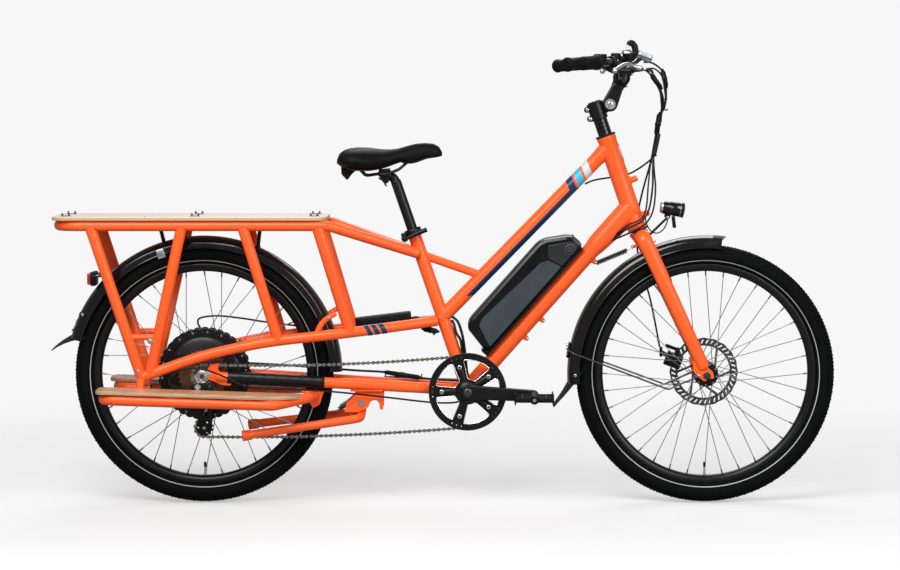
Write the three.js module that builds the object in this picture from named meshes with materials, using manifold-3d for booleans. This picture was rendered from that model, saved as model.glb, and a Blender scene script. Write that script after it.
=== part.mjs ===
// A long-tail cargo bicycle with a rear hub motor, built as an assembly of separate parts.
// Millimetres. +X is forward, +Y is the rider's left, +Z is up, and the ground is at Z = 0.
// Places along X are counted from the rear axle; the last lines move the origin to mid-length.
import * as THREE from "three";
import { mergeVertices } from "three/addons/utils/BufferGeometryUtils.js";
import Module from "manifold-3d";

const wasm = await Module();
wasm.setup();

// ---------------------------------------------------------------- driving dimensions
const WHEEL_RADIUS = 338;
const WHEELBASE = 1306;
const MID_LENGTH = 623.5; // rear axle to the middle of the overall length
const FRAME_LEAN = THREE.MathUtils.degToRad(19); // head and seat tubes, from upright
const GAP = 0.4; // between pieces that touch on the real bicycle

const REAR_AXLE = at(0, 0, WHEEL_RADIUS);
const FRONT_AXLE = at(WHEELBASE, 0, WHEEL_RADIUS);
const CRANK_CENTRE = at(686, 0, 296);
const HEAD_TOP = at(1044, 0, 958);
const SEAT_TUBE_TOP = at(546, 0, 704);
const STEM_PIVOT = at(1055, 0, 1039);
const BAR_CENTRE = at(1085, 0, 1107);

const HEAD_LENGTH = 260;
const TUBE_RADIUS = { head: 24, top: 18.5, down: 21.5, seat: 17, rail: 13.5, strut: 14 };
const RAIL = { side: 105, height: 728, rear: -368.5, bend: 327 };
const LOWER_RAIL_SIDE = 86;

const TYRE_SEGMENTS = 32;
const RIM = { outer: 286, inner: 267, halfWidth: 15 };
const TYRE = { outer: WHEEL_RADIUS, inner: RIM.outer + 1, halfWidth: 29 };
const SPOKES = 36;
const FENDER = { radius: 360, halfWidth: 36, skirt: 30, wall: 3 };

const CHAIN = { side: -58, halfWidth: 3.5, halfHeight: 4 };
const CHAINRING = { pitch: 93, guard: 101 };
const COG = { pitch: 28.3 };
const JOCKEY_UP = { x: 12, z: 288, pitch: 21 };
const JOCKEY_LOW = { x: 3, z: 202, pitch: 24 };
const TOOTH_CLEARANCE = 5; // chain pitch line to the plain disc under it
const CRANK = { length: 170, drop: THREE.MathUtils.degToRad(3) };
const STAND_PIVOT = at(410, 0, 263);

const BATTERY = { start: 115, end: 483, low: 27.6, high: 119, halfWidth: 42 };
const BOARD_THICKNESS = 9;

// ---------------------------------------------------------------- materials
const colour = (hex, roughness, metalness) =>
  new THREE.MeshStandardMaterial({ color: hex, roughness, metalness });
const FRAME_ORANGE = colour(0xfc622c, 0.42, 0.1);
const BLACK_METAL = colour(0x151517, 0.45, 0.6);
const BLACK_PLASTIC = colour(0x17181b, 0.5, 0);
const GLOSS_BLACK = colour(0x0c0c0e, 0.15, 0);
const RUBBER = colour(0x18181a, 0.85, 0);
const ALLOY = colour(0xc8cace, 0.3, 0.9);
const STEEL = colour(0x8c8a86, 0.35, 0.9);
const COPPER_STEEL = colour(0x7a5540, 0.4, 0.9);
const PLYWOOD = colour(0xb5764c, 0.6, 0);
const PALE_PLYWOOD = colour(0xe6d3c0, 0.6, 0);
const RED_LENS = colour(0xa01818, 0.2, 0);
const VINYL = colour(0x19191b, 0.6, 0);

// ---------------------------------------------------------------- shape tools
function at(x, y, z) {
  return new THREE.Vector3(x, y, z);
}

// A closed geometry as a solid for joining and cutting.
function solid(geometry) {
  const bare = geometry.clone();
  bare.deleteAttribute("normal");
  bare.deleteAttribute("uv");
  const welded = mergeVertices(bare, 1e-3);
  const index = welded.index.array;
  const kept = [];
  for (let i = 0; i < index.length; i += 3) {
    const [a, b, c] = [index[i], index[i + 1], index[i + 2]];
    if (a !== b && b !== c && a !== c) kept.push(a, b, c);
  }
  return new wasm.Manifold(
    new wasm.Mesh({
      numProp: 3,
      vertProperties: welded.attributes.position.array,
      triVerts: new Uint32Array(kept),
    }),
  );
}

function geometryOf(manifold) {
  const mesh = manifold.getMesh();
  const geometry = new THREE.BufferGeometry();
  geometry.setAttribute("position", new THREE.BufferAttribute(mesh.vertProperties, 3));
  geometry.setIndex(new THREE.BufferAttribute(mesh.triVerts, 1));
  return geometry;
}

function join(...pieces) {
  return geometryOf(pieces.map(solid).reduce((whole, piece) => whole.add(piece)));
}

function cut(piece, ...tools) {
  return geometryOf(tools.map(solid).reduce((whole, tool) => whole.subtract(tool), solid(piece)));
}

function common(a, b) {
  return geometryOf(solid(a).intersect(solid(b)));
}

// A straight round bar, tapered when its two ends have different radii.
function rod(from, to, radius, sides = 10, endRadius = radius) {
  const along = to.clone().sub(from);
  const geometry = new THREE.CylinderGeometry(endRadius, radius, along.length(), sides);
  const turn = new THREE.Quaternion().setFromUnitVectors(at(0, 1, 0), along.clone().normalize());
  geometry.applyQuaternion(turn);
  const middle = from.clone().add(to).multiplyScalar(0.5);
  return geometry.translate(middle.x, middle.y, middle.z);
}

// A straight bar of oval section, narrower across Y.
function ovalBar(from, to, radius, flatten, sides = 12, endRadius = radius) {
  const middle = (from.y + to.y) / 2;
  return rod(from, to, radius, sides, endRadius)
    .translate(0, -middle, 0)
    .scale(1, flatten, 1)
    .translate(0, middle, 0);
}

// A cylinder that lies across the bicycle, from one Y to another.
function crossRod(centre, y0, y1, radius, sides = 12) {
  return rod(at(centre.x, y0, centre.z), at(centre.x, y1, centre.z), radius, sides);
}

// The centre line of a bent tube: straight runs joined by rounded corners, one ring a point.
class BentLine extends THREE.Curve {
  constructor(corners, bend, stepsPerBend) {
    super();
    this.rings = [corners[0]];
    for (let i = 1; i < corners.length - 1; i++) {
      const corner = corners[i];
      const trim = (other) => {
        const away = other.clone().sub(corner);
        return corner.clone().addScaledVector(away.normalize(), bend);
      };
      const arc = new THREE.QuadraticBezierCurve3(trim(corners[i - 1]), corner, trim(corners[i + 1]));
      this.rings.push(...arc.getPoints(stepsPerBend));
    }
    this.rings.push(corners[corners.length - 1]);
  }

  getPoint(t, target = new THREE.Vector3()) {
    const place = t * (this.rings.length - 1);
    const i = Math.min(Math.floor(place + 1e-6), this.rings.length - 2);
    return target.lerpVectors(this.rings[i], this.rings[i + 1], place - i);
  }

  getPointAt(u, target) {
    return this.getPoint(u, target);
  }

  getTangentAt(u, target = new THREE.Vector3()) {
    const last = this.rings.length - 1;
    const i = Math.round(u * last);
    const here = this.rings[i];
    const before = here.clone().sub(this.rings[Math.max(i - 1, 0)]).normalize();
    const after = this.rings[Math.min(i + 1, last)].clone().sub(here).normalize();
    return target.addVectors(before, after).normalize();
  }
}

function circleShape(radius, sides) {
  const shape = new THREE.Shape();
  for (let i = 0; i < sides; i++) {
    const angle = (2 * Math.PI * i) / sides;
    const point = [radius * Math.cos(angle), radius * Math.sin(angle)];
    if (i === 0) shape.moveTo(...point);
    else shape.lineTo(...point);
  }
  shape.closePath();
  return shape;
}

function bentTube(corners, radius, bend, sides = 10, stepsPerBend = 4) {
  const line = new BentLine(corners, bend, stepsPerBend);
  return new THREE.ExtrudeGeometry(circleShape(radius, sides), {
    steps: line.rings.length - 1,
    extrudePath: line,
    bevelEnabled: false,
  });
}

// A cable along a smooth curve through its points.
function cable(points, radius, steps, sides = 8) {
  const line = new THREE.CatmullRomCurve3(points, false, "centripetal");
  return new THREE.ExtrudeGeometry(circleShape(radius, sides), {
    steps,
    extrudePath: line,
    bevelEnabled: false,
  });
}

// An outline given as a list of pairs, or as a shape already.
function shapeFrom(outline) {
  if (!Array.isArray(outline)) return outline;
  return new THREE.Shape(outline.map(([across, up]) => new THREE.Vector2(across, up)));
}

// A flat plate: an outline in X and Z, between two values of Y.
function plate(outline, y0, y1, holes = []) {
  const shape = shapeFrom(outline);
  shape.holes.push(...holes);
  return new THREE.ExtrudeGeometry(shape, { depth: y1 - y0, bevelEnabled: false })
    .rotateX(Math.PI / 2)
    .translate(0, y1, 0);
}

// A board: an outline in X and Y, between two heights.
function board(outline, z0, z1) {
  const geometry = new THREE.ExtrudeGeometry(shapeFrom(outline), { depth: z1 - z0, bevelEnabled: false });
  return geometry.translate(0, 0, z0);
}

function block(sizeX, sizeY, sizeZ, centre, tilt = 0) {
  return new THREE.BoxGeometry(sizeX, sizeY, sizeZ).rotateY(tilt).translate(centre.x, centre.y, centre.z);
}

// A piece turned about an axle along Y. The profile is a list of [radius, y] that ends on the axle
// or closes on itself.
function turned(profile, centre, sides) {
  const points = profile.map(([radius, y]) => new THREE.Vector2(radius, y));
  let area = 0;
  points.forEach((p, i) => {
    const next = points[(i + 1) % points.length];
    area += p.x * next.y - next.x * p.y;
  });
  if (area < 0) points.reverse();
  return new THREE.LatheGeometry(points, sides).translate(centre.x, centre.y, centre.z);
}

function ring(outer, inner, y0, y1, centre, sides) {
  const profile = [[inner, y0], [outer, y0], [outer, y1], [inner, y1], [inner, y0]];
  return turned(profile, centre, sides);
}

// A round-ended link between two points of the XZ plane, as an outline.
function linkOutline(from, to, fromRadius, toRadius, steps = 6) {
  const heading = Math.atan2(to.z - from.z, to.x - from.x);
  const outline = [];
  for (let i = 0; i <= steps; i++) {
    const angle = heading + Math.PI / 2 + (Math.PI * i) / steps;
    outline.push([from.x + fromRadius * Math.cos(angle), from.z + fromRadius * Math.sin(angle)]);
  }
  for (let i = 0; i <= steps; i++) {
    const angle = heading - Math.PI / 2 + (Math.PI * i) / steps;
    outline.push([to.x + toRadius * Math.cos(angle), to.z + toRadius * Math.sin(angle)]);
  }
  return outline;
}

// ---------------------------------------------------------------- the assembly
const bicycle = new THREE.Group();

function part(name, geometry, material, parent = bicycle) {
  const mesh = new THREE.Mesh(geometry, material);
  mesh.name = name;
  parent.add(mesh);
  return mesh;
}

// A place on the steering axis: millimetres below the top of the head tube, ahead of it and to a side.
function onHead(down, ahead = 0, side = 0) {
  return at(
    HEAD_TOP.x + down * Math.sin(FRAME_LEAN) + ahead * Math.cos(FRAME_LEAN),
    side,
    HEAD_TOP.z - down * Math.cos(FRAME_LEAN) + ahead * Math.sin(FRAME_LEAN),
  );
}

// A place on the seat tube's axis, in millimetres below its top.
function onSeat(down, ahead = 0, side = 0) {
  return at(
    SEAT_TUBE_TOP.x + down * Math.sin(FRAME_LEAN) + ahead * Math.cos(FRAME_LEAN),
    side,
    SEAT_TUBE_TOP.z - down * Math.cos(FRAME_LEAN) + ahead * Math.sin(FRAME_LEAN),
  );
}

// ---------------------------------------------------------------- front of the frame
const DOWN_TUBE_HEAD = at(1108, 0, 772);
const DOWN_TUBE_ANGLE = Math.atan2(DOWN_TUBE_HEAD.z - CRANK_CENTRE.z, DOWN_TUBE_HEAD.x - CRANK_CENTRE.x);
const TOP_TUBE = { head: at(1058, 0, 933), seat: at(617, 0, 481) };
const THICK_FROM = 505; // where the down tube grows thicker, from the crank centre
const THICK_RADIUS = 26;

// A place by the down tube: millimetres along it from the crank centre, above its axis and to a side.
function onDownTube(along, above = 0, side = 0) {
  const [c, s] = [Math.cos(DOWN_TUBE_ANGLE), Math.sin(DOWN_TUBE_ANGLE)];
  return at(CRANK_CENTRE.x + along * c - above * s, side, CRANK_CENTRE.z + along * s + above * c);
}

const headShell = (grow = 0) => rod(onHead(0), onHead(HEAD_LENGTH), TUBE_RADIUS.head + grow, 12);
const topShell = (grow = 0) => rod(TOP_TUBE.head, TOP_TUBE.seat, TUBE_RADIUS.top + grow, 10);
const seatShell = (grow = 0) => rod(onSeat(0), onSeat(430), TUBE_RADIUS.seat + grow, 10);
const crankShell = (grow = 0) => crossRod(CRANK_CENTRE, -36 - grow, 36 + grow, 21 + grow, 12);

function headTube() {
  const cups = [onHead(-2), onHead(HEAD_LENGTH - 10)].map((place) => {
    const end = place.clone().add(onHead(12).sub(onHead(0)));
    return rod(place, end, TUBE_RADIUS.head + 3, 16);
  });
  const bosses = [131, 226].map((down) => rod(onHead(down, 10), onHead(down, 40), 7.5, 8));
  const bore = rod(onHead(-20), onHead(HEAD_LENGTH + 20), 17, 16);
  return cut(join(headShell(), ...cups, ...bosses), bore);
}
part("head_tube", headTube(), FRAME_ORANGE);
part("top_tube", cut(topShell(), headShell(GAP), seatShell(GAP)), FRAME_ORANGE);

function downTube() {
  const thin = rod(onDownTube(8), onDownTube(THICK_FROM + 5), TUBE_RADIUS.down, 12);
  const thick = rod(onDownTube(THICK_FROM), onDownTube(640), THICK_RADIUS, 12);
  const taper = rod(onDownTube(THICK_FROM - 18), onDownTube(THICK_FROM), TUBE_RADIUS.down, 12, THICK_RADIUS);
  const bosses = [488, 415, 384].map((along) => rod(onDownTube(along, -16), onDownTube(along, -30), 6, 6));
  const tube = cut(join(thin, taper, thick, ...bosses), headShell(GAP + 3), crankShell(GAP));
  const cradle = join(
    cut(
      block(BATTERY.end - 96, 30, 12, at((BATTERY.end + 100) / 2, 0, 21)),
      rod(at(0, 0, 0), at(THICK_FROM, 0, 0), TUBE_RADIUS.down - 3, 12),
    ),
    block(14, 60, 34, at(107.5, 0, 37)),
  );
  cradle.rotateY(-DOWN_TUBE_ANGLE).translate(CRANK_CENTRE.x, 0, CRANK_CENTRE.z);
  return cut(join(tube, cradle), seatShell(GAP));
}
part("down_tube", downTube(), FRAME_ORANGE);

// The seat tube with the crank bearing shell, its bearing cartridge and the brace to the top tube.
const BEARING_BORE = 10;
const POST_BORE = 14.4;
const seatBrace = (grow = 0) => rod(onSeat(58, 0), at(712, 0, 602), 11 + grow, 10);
function seatTube() {
  const body = join(seatShell(), crankShell(), cut(seatBrace(), topShell(GAP)));
  const postBore = rod(onSeat(-10), onSeat(320), POST_BORE, 12);
  return cut(body, postBore, crossRod(CRANK_CENTRE, -60, 60, BEARING_BORE, 12));
}
part("seat_tube", seatTube(), FRAME_ORANGE);

// ---------------------------------------------------------------- rear of the frame
const deckRailCorners = [-1, 1].map((side) => [
  at(556, side * 14, 652),
  at(RAIL.bend, side * RAIL.side, RAIL.height),
  at(RAIL.rear, side * RAIL.side, RAIL.height),
]);
const deckRailShell = (grow = 0) =>
  bentTube([...deckRailCorners[0], ...deckRailCorners[1].toReversed()], TUBE_RADIUS.rail + grow, 48, 8, 3);
const crossTubes = [-113, 147].map((x) =>
  rod(at(x, -RAIL.side, RAIL.height), at(x, RAIL.side, RAIL.height), 9.5, 10),
);
part("deck_rail", cut(join(deckRailShell(), ...crossTubes), seatShell(GAP)), FRAME_ORANGE);

const LOWER_RAIL = [
  [-156, 86, 336], [-100, 86, 356], [0, 86, 390], [111, 86, 416], [200, 86, 431],
  [345, 84, 447], [480, 56, 462], [606, 14, 476],
];
const STRUTS = [
  { top: [-282, 722], foot: [-157, 338], radius: TUBE_RADIUS.strut },
  { top: [-49, 722], foot: [-133, 346], radius: TUBE_RADIUS.strut },
  { top: [109, 722], foot: [198, 430], radius: TUBE_RADIUS.strut },
  { top: [302, 722], foot: [384, 450], radius: 16 },
];

const BOARD_POST_LOW = 300.4;
// One side of the cargo frame: the curved lower rail and the struts that carry the deck rail.
function sideFrame(side) {
  const points = LOWER_RAIL.map(([x, y, z]) => at(x, side * y, z));
  const rail = cable(points, TUBE_RADIUS.rail, 16, 8);
  const railSide = (x) => (x > 345 ? 84 - ((x - 345) * 28) / 135 : LOWER_RAIL_SIDE);
  const struts = STRUTS.map(({ top, foot, radius }) =>
    rod(at(top[0], side * RAIL.side, top[1]), at(foot[0], side * railSide(foot[0]), foot[1]), radius, 8),
  );
  const tie = rod(at(-192, side * 91, 440), at(-108, side * 91, 440), 8, 8);
  const boardPost = rod(at(-156, side * LOWER_RAIL_SIDE, 342), at(-160, side * 94, BOARD_POST_LOW), 11, 8);
  const gusset = plate([[296, 440], [380, 456], [366, 512], [336, 470]], side * 86 - 3, side * 86 + 3);
  const whole = join(rail, ...struts, tie, gusset, boardPost);
  const below = block(60, 60, 20, at(-160, side * 94, BOARD_POST_LOW - 10));
  return cut(whole, deckRailShell(GAP), seatShell(GAP), topShell(GAP), below);
}
part("side_frame_right", sideFrame(-1), FRAME_ORANGE);
part("side_frame_left", sideFrame(1), FRAME_ORANGE);

// The chain stays with both dropouts, the fixed rear axle and the bracket of the centre stand.
const DROPOUT = [[-24, 350], [-6, 370], [30, 380], [62, 384], [72, 350], [72, 312], [20, 316], [-14, 326]];
const STAND_PLATE = [
  [372, 301], [469, 303], [469, 240], [459, 238], [457, 262], [451, 272],
  [432, 273], [425, 248], [411, 242], [395, 247], [388, 262], [372, 285],
];
const stayBar = (side, grow = 0) =>
  ovalBar(at(676, side * 27, 297), at(36, side * 68, 335), 14 + grow, 0.8, 10, 13 + grow);
function chainStays() {
  const sides = [-1, 1].flatMap((side) => {
    const inner = side > 0 ? 66 : -71;
    const standInner = side > 0 ? 34 : -39;
    return [
      stayBar(side),
      plate(DROPOUT, inner, inner + 5),
      plate(STAND_PLATE, standInner, standInner + 5),
      crossRod(REAR_AXLE, side * 73.5, side * 84, 11, 6),
    ];
  });
  const bridge = block(84, 96, 7, at(424, 0, 298));
  const axle = crossRod(REAR_AXLE, -88, 88, 6, 8);
  const standBolt = crossRod(STAND_PIVOT, -45, 45, 5, 8);
  return cut(join(...sides, bridge, axle, standBolt), crankShell(GAP));
}
part("chain_stays", chainStays(), FRAME_ORANGE);

// ---------------------------------------------------------------- decks, fenders and boxes
function roundedBoard(x0, x1, y0, y1, corner) {
  const shape = new THREE.Shape();
  const arc = Math.PI / 2;
  shape.moveTo(x0 + corner, y0);
  shape.lineTo(x1 - corner, y0);
  shape.absarc(x1 - corner, y0 + corner, corner, -arc, 0, false);
  shape.lineTo(x1, y1 - corner);
  shape.absarc(x1 - corner, y1 - corner, corner, 0, arc, false);
  shape.lineTo(x0 + corner, y1);
  shape.absarc(x0 + corner, y1 - corner, corner, arc, 2 * arc, false);
  shape.lineTo(x0, y0 + corner);
  shape.absarc(x0 + corner, y0 + corner, corner, 2 * arc, 3 * arc, false);
  return new THREE.Shape(shape.getPoints(3));
}
const DECK_LOW = RAIL.height + TUBE_RADIUS.rail + GAP;
part(
  "deck_board",
  board(roundedBoard(-384, 325, -122, 122, 40), DECK_LOW, DECK_LOW + BOARD_THICKNESS),
  PALE_PLYWOOD,
);

const RUNNING_BOARD = { rear: -262, front: 270, inner: 112, outer: 215, slope: 0.034, middle: 305 };
for (const [name, side] of [["right", -1], ["left", 1]]) {
  const [y0, y1] = [side * RUNNING_BOARD.inner, side * RUNNING_BOARD.outer].toSorted((a, b) => a - b);
  const shape = roundedBoard(RUNNING_BOARD.rear, RUNNING_BOARD.front, y0, y1, 34);
  const ply = board(shape, -BOARD_THICKNESS, 0).rotateY(RUNNING_BOARD.slope);
  part("running_board_" + name, ply.translate(0, 0, RUNNING_BOARD.middle), PLYWOOD);
  const underBoard = (x) => RUNNING_BOARD.middle - x * RUNNING_BOARD.slope - BOARD_THICKNESS - 14.6;
  const frame = bentTube(
    [
      at(-150, side * 100, 300), at(-238, side * 108, underBoard(-238)),
      at(-246, side * 200, underBoard(-246)), at(256, side * 200, underBoard(256)),
      at(290, side * 130, underBoard(290)), at(290, side * 50, 300),
    ],
    TUBE_RADIUS.rail,
    26,
    8,
    2,
  );
  const underPost = block(210, 60, 60, at(-155, side * 100, BOARD_POST_LOW + 29.6));
  const trimmed = cut(frame, stayBar(side, GAP), underPost);
  part("running_board_frame_" + name, trimmed, FRAME_ORANGE);
}

// A fender: an inverted U swept round the wheel between two angles, counted from forwards over the top.
function sweptFender(centre, fromDegrees, toDegrees, steps) {
  const arc = new THREE.Curve();
  const angleAt = (u) => THREE.MathUtils.degToRad(fromDegrees + (toDegrees - fromDegrees) * u);
  arc.getPoint = (u, target = new THREE.Vector3()) => {
    const angle = angleAt(u);
    return target.set(
      centre.x + FENDER.radius * Math.cos(angle), 0, centre.z + FENDER.radius * Math.sin(angle),
    );
  };
  const { halfWidth, skirt, wall } = FENDER;
  const outline = [
    [-halfWidth, -skirt], [-halfWidth, -8], [-halfWidth * 0.6, 0], [halfWidth * 0.6, 0], [halfWidth, -8],
    [halfWidth, -skirt], [halfWidth - wall, -skirt], [halfWidth - wall, -10],
    [halfWidth * 0.55, -wall], [-halfWidth * 0.55, -wall],
    [wall - halfWidth, -10], [wall - halfWidth, -skirt],
  ];
  const section = new THREE.Shape(outline.map(([x, y]) => new THREE.Vector2(x, y)));
  return new THREE.ExtrudeGeometry(section, { steps, extrudePath: arc, bevelEnabled: false });
}

function rearFender() {
  const flap = plate([[-322, 452], [-348, 448], [-376, 428], [-397, 404], [-393, 397], [-332, 430]], -34, 34);
  const brackets = [
    rod(at(-103, 0, 676), at(-114, 0, 717), 5, 6),
    rod(at(140, 0, 662), at(146, 0, 717), 5, 6),
  ];
  return cut(join(sweptFender(REAR_AXLE, 1, 165, 16), flap, ...brackets), deckRailShell(GAP + 1));
}
part("rear_fender", rearFender(), GLOSS_BLACK);

part("controller", block(150, 38, 28, at(462, 0, 477), -0.05), BLACK_PLASTIC);

function tailLight() {
  const lamp = block(24, 64, 36, at(-290, 0, 586));
  const bracket = block(26, 176, 5, at(-269, 0, 596));
  return cut(join(lamp, bracket), sideFrameStrutClear(-1), sideFrameStrutClear(1));
}
function sideFrameStrutClear(side) {
  const { top, foot, radius } = STRUTS[0];
  const upper = at(top[0], side * RAIL.side, top[1]);
  return rod(upper, at(foot[0], side * LOWER_RAIL_SIDE, foot[1]), radius + GAP, 10);
}
part("tail_light", tailLight(), RED_LENS);

// ---------------------------------------------------------------- battery on the down tube
const besideDownTube = new THREE.Group();
besideDownTube.position.copy(CRANK_CENTRE);
besideDownTube.rotation.y = -DOWN_TUBE_ANGLE;
bicycle.add(besideDownTube);

const LOCK = { along: 452, above: 46 };
function battery() {
  const { start, end, low, high, halfWidth } = BATTERY;
  const outline = [
    [start, low], [end, low], [end, 64], [474, 74],
    [428, 112], [410, high], [start + 24, high], [start + 8, 108],
  ];
  const lockBore = crossRod(at(LOCK.along, 0, LOCK.above), -halfWidth - 10, -halfWidth + 8, 8, 12);
  return cut(plate(outline, -halfWidth, halfWidth), lockBore);
}
part("battery", battery(), GLOSS_BLACK, besideDownTube);
part(
  "battery_lock",
  crossRod(at(LOCK.along, 0, LOCK.above), -BATTERY.halfWidth - 2, -BATTERY.halfWidth + 7.4, 7, 12),
  BLACK_METAL,
  besideDownTube,
);

// ---------------------------------------------------------------- saddle and seat post
function seatClamp() {
  const band = rod(onSeat(-3), onSeat(20), TUBE_RADIUS.seat + 5, 12);
  const ears = block(22, 15, 20, onSeat(8, -22), FRAME_LEAN);
  const bolt = rod(onSeat(8, -26, -23), onSeat(8, -26, 15), 3.5, 8);
  return cut(join(band, ears, bolt), rod(onSeat(-30), onSeat(60), TUBE_RADIUS.seat + 3 * GAP, 12));
}
part("seat_clamp", seatClamp(), BLACK_METAL);
part(
  "seat_clamp_lever",
  join(
    rod(onSeat(2, -26, -29), onSeat(14, -26, -29), 5, 8),
    bentTube([onSeat(8, -26, -29), onSeat(12, 6, -33), onSeat(20, 40, -30)], 4.2, 8, 6, 2),
  ),
  BLACK_METAL,
);

const POST_HEAD = at(470, 0, 862);
function seatPost() {
  const shaft = bentTube([onSeat(185), onSeat(-138), POST_HEAD], 13.6, 22, 12, 3);
  const cradle = crossRod(POST_HEAD, -24, 24, 12, 10);
  const yoke = block(46, 52, 7, at(470, 0, 857), 0.1);
  return join(shaft, cradle, yoke);
}
const SADDLE_RAIL_SIDE = 22;
function saddleRails(side) {
  const y = side * SADDLE_RAIL_SIDE;
  return bentTube(
    [at(404, y * 1.6, 888), at(430, y, 870), at(520, y, 880), at(560, y * 0.5, 900)], 3.5, 10, 6, 2,
  );
}
part("seat_post", cut(seatPost(), block(60, 14, 20, at(470, 22, 876)), block(60, 14, 20, at(470, -22, 876))),
  BLACK_METAL);

// The pad: the side outline and the plan outline, cut from one another.
function saddlePad() {
  const sideOutline = [
    [348, 890], [358, 912], [386, 924], [416, 927], [478, 922], [504, 922], [542, 934], [592, 939],
    [610, 930], [620, 908], [612, 901], [590, 900], [560, 890], [520, 890],
    [470, 876], [400, 870], [364, 878],
  ];
  const planOutline = [
    [348, 40], [352, 66], [368, 84], [396, 88], [430, 78],
    [468, 52], [510, 32], [560, 24], [600, 20], [620, 8],
  ];
  const mirrored = planOutline.map(([x, y]) => [x, -y]).toReversed();
  return common(plate(sideOutline, -100, 100), board([...planOutline, ...mirrored], 840, 960));
}
part("saddle", join(saddlePad(), saddleRails(-1), saddleRails(1)), VINYL);

// ---------------------------------------------------------------- centre stand
function centreStand() {
  const crossTube = at(408, 0, 229);
  const legs = bentTube(
    [
      at(118, -122, 190), at(crossTube.x, -84, crossTube.z),
      at(crossTube.x, 84, crossTube.z), at(118, 122, 190),
    ],
    11, 16, 10, 3,
  );
  const feet = [-1, 1].map((side) => block(34, 26, 30, at(122, side * 122, 190), 0.15));
  const ears = [-1, 1].map((side) => {
    const inner = side > 0 ? 20 : -27;
    return plate(linkOutline(STAND_PIVOT, crossTube, 13, 11), inner, inner + 7);
  });
  return cut(join(legs, ...feet, ...ears), crossRod(STAND_PIVOT, -60, 60, 6, 10));
}
part("kickstand", centreStand(), FRAME_ORANGE);

// ---------------------------------------------------------------- steering: fork, front fender, lamp
const FORK = { crown: onHead(277, 3), side: 56, foot: at(1299, 0, 354) };
function fork() {
  const { crown, side, foot } = FORK;
  const steerer = rod(onHead(-82), onHead(272), 14.2, 12);
  const race = rod(onHead(HEAD_LENGTH + 4), onHead(HEAD_LENGTH + 12), 24, 12);
  const bridge = crossRod(crown, -side, side, 15, 10);
  const blades = [-1, 1].flatMap((hand) => {
    const inner = hand > 0 ? 51 : -59;
    const tip = [[1288, 372], [1314, 352], [1320, 336], [1308, 324], [1282, 322], [1284, 345]];
    return [
      ovalBar(at(crown.x, hand * side, crown.z + 2), at(foot.x, hand * side, foot.z), 20, 0.65, 12, 16),
      plate(tip, inner, inner + 8),
      crossRod(FRONT_AXLE, hand * 50, hand * 67, 9, 6),
    ];
  });
  const axle = crossRod(FRONT_AXLE, -70, 70, 5, 8);
  const lampBracket = bentTube([at(1146, 0, 694), at(1160, 0, 700), at(1196, 0, 738)], 4, 6, 6, 2);
  return join(steerer, race, bridge, ...blades, axle, lampBracket);
}
part("fork", fork(), FRAME_ORANGE);

function frontFender() {
  const blade = sweptFender(FRONT_AXLE, 82, 185, 11);
  const flap = plate([[944, 330], [952, 330], [956, 306], [934, 278], [910, 252], [906, 258]], -33, 33);
  const stays = [-1, 1].map((side) => rod(at(956, side * 35, 397), at(1290, side * 63.5, 329), 2.5, 6));
  const mount = rod(at(1163, 0, 668), at(1150, 0, 681), 5, 6);
  return cut(join(blade, flap, ...stays, mount), crossRod(FORK.crown, -60, 60, 16, 10));
}
part("front_fender", frontFender(), GLOSS_BLACK);

function headlight() {
  const body = rod(at(1192, 0, 771.6), at(1248, 0, 763.7), 16.4, 12, 20);
  const foot = rod(at(1205, 0, 747), at(1207, 0, 760), 5, 6);
  const fin = block(9, 11, 31, at(1222.5, 0, 733), -0.12);
  return join(body, foot, fin);
}
part("headlight", headlight(), GLOSS_BLACK);

// ---------------------------------------------------------------- stem and handlebar
function stemBase() {
  const spacers = rod(onHead(-3.4), onHead(-44), 18, 12);
  const clamp = rod(onHead(-42), onHead(-90), 22, 12);
  const reach = onHead(-66);
  const lug = plate(linkOutline(reach, STEM_PIVOT, 16, 15), -10, 10);
  const pinch = [-52, -78].map((down) => rod(onHead(down, -27, -12), onHead(down, -27, 12), 7, 8));
  const ears = block(16, 16, 44, onHead(-65, -22), FRAME_LEAN);
  return cut(join(spacers, clamp, lug, ears, ...pinch), rod(onHead(20), onHead(-84), 15, 12));
}
part("stem_base", stemBase(), BLACK_METAL);

function stemArm() {
  const arm = plate(linkOutline(STEM_PIVOT, BAR_CENTRE, 17, 17), -22, 22);
  const clamp = crossRod(BAR_CENTRE, -25, 25, 21, 14);
  const slot = crossRod(STEM_PIVOT, -10.6, 10.6, 22, 14);
  const bore = crossRod(BAR_CENTRE, -40, 40, 16.4, 14);
  return cut(join(arm, clamp), slot, bore);
}
part("stem_arm", stemArm(), BLACK_METAL);

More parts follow.
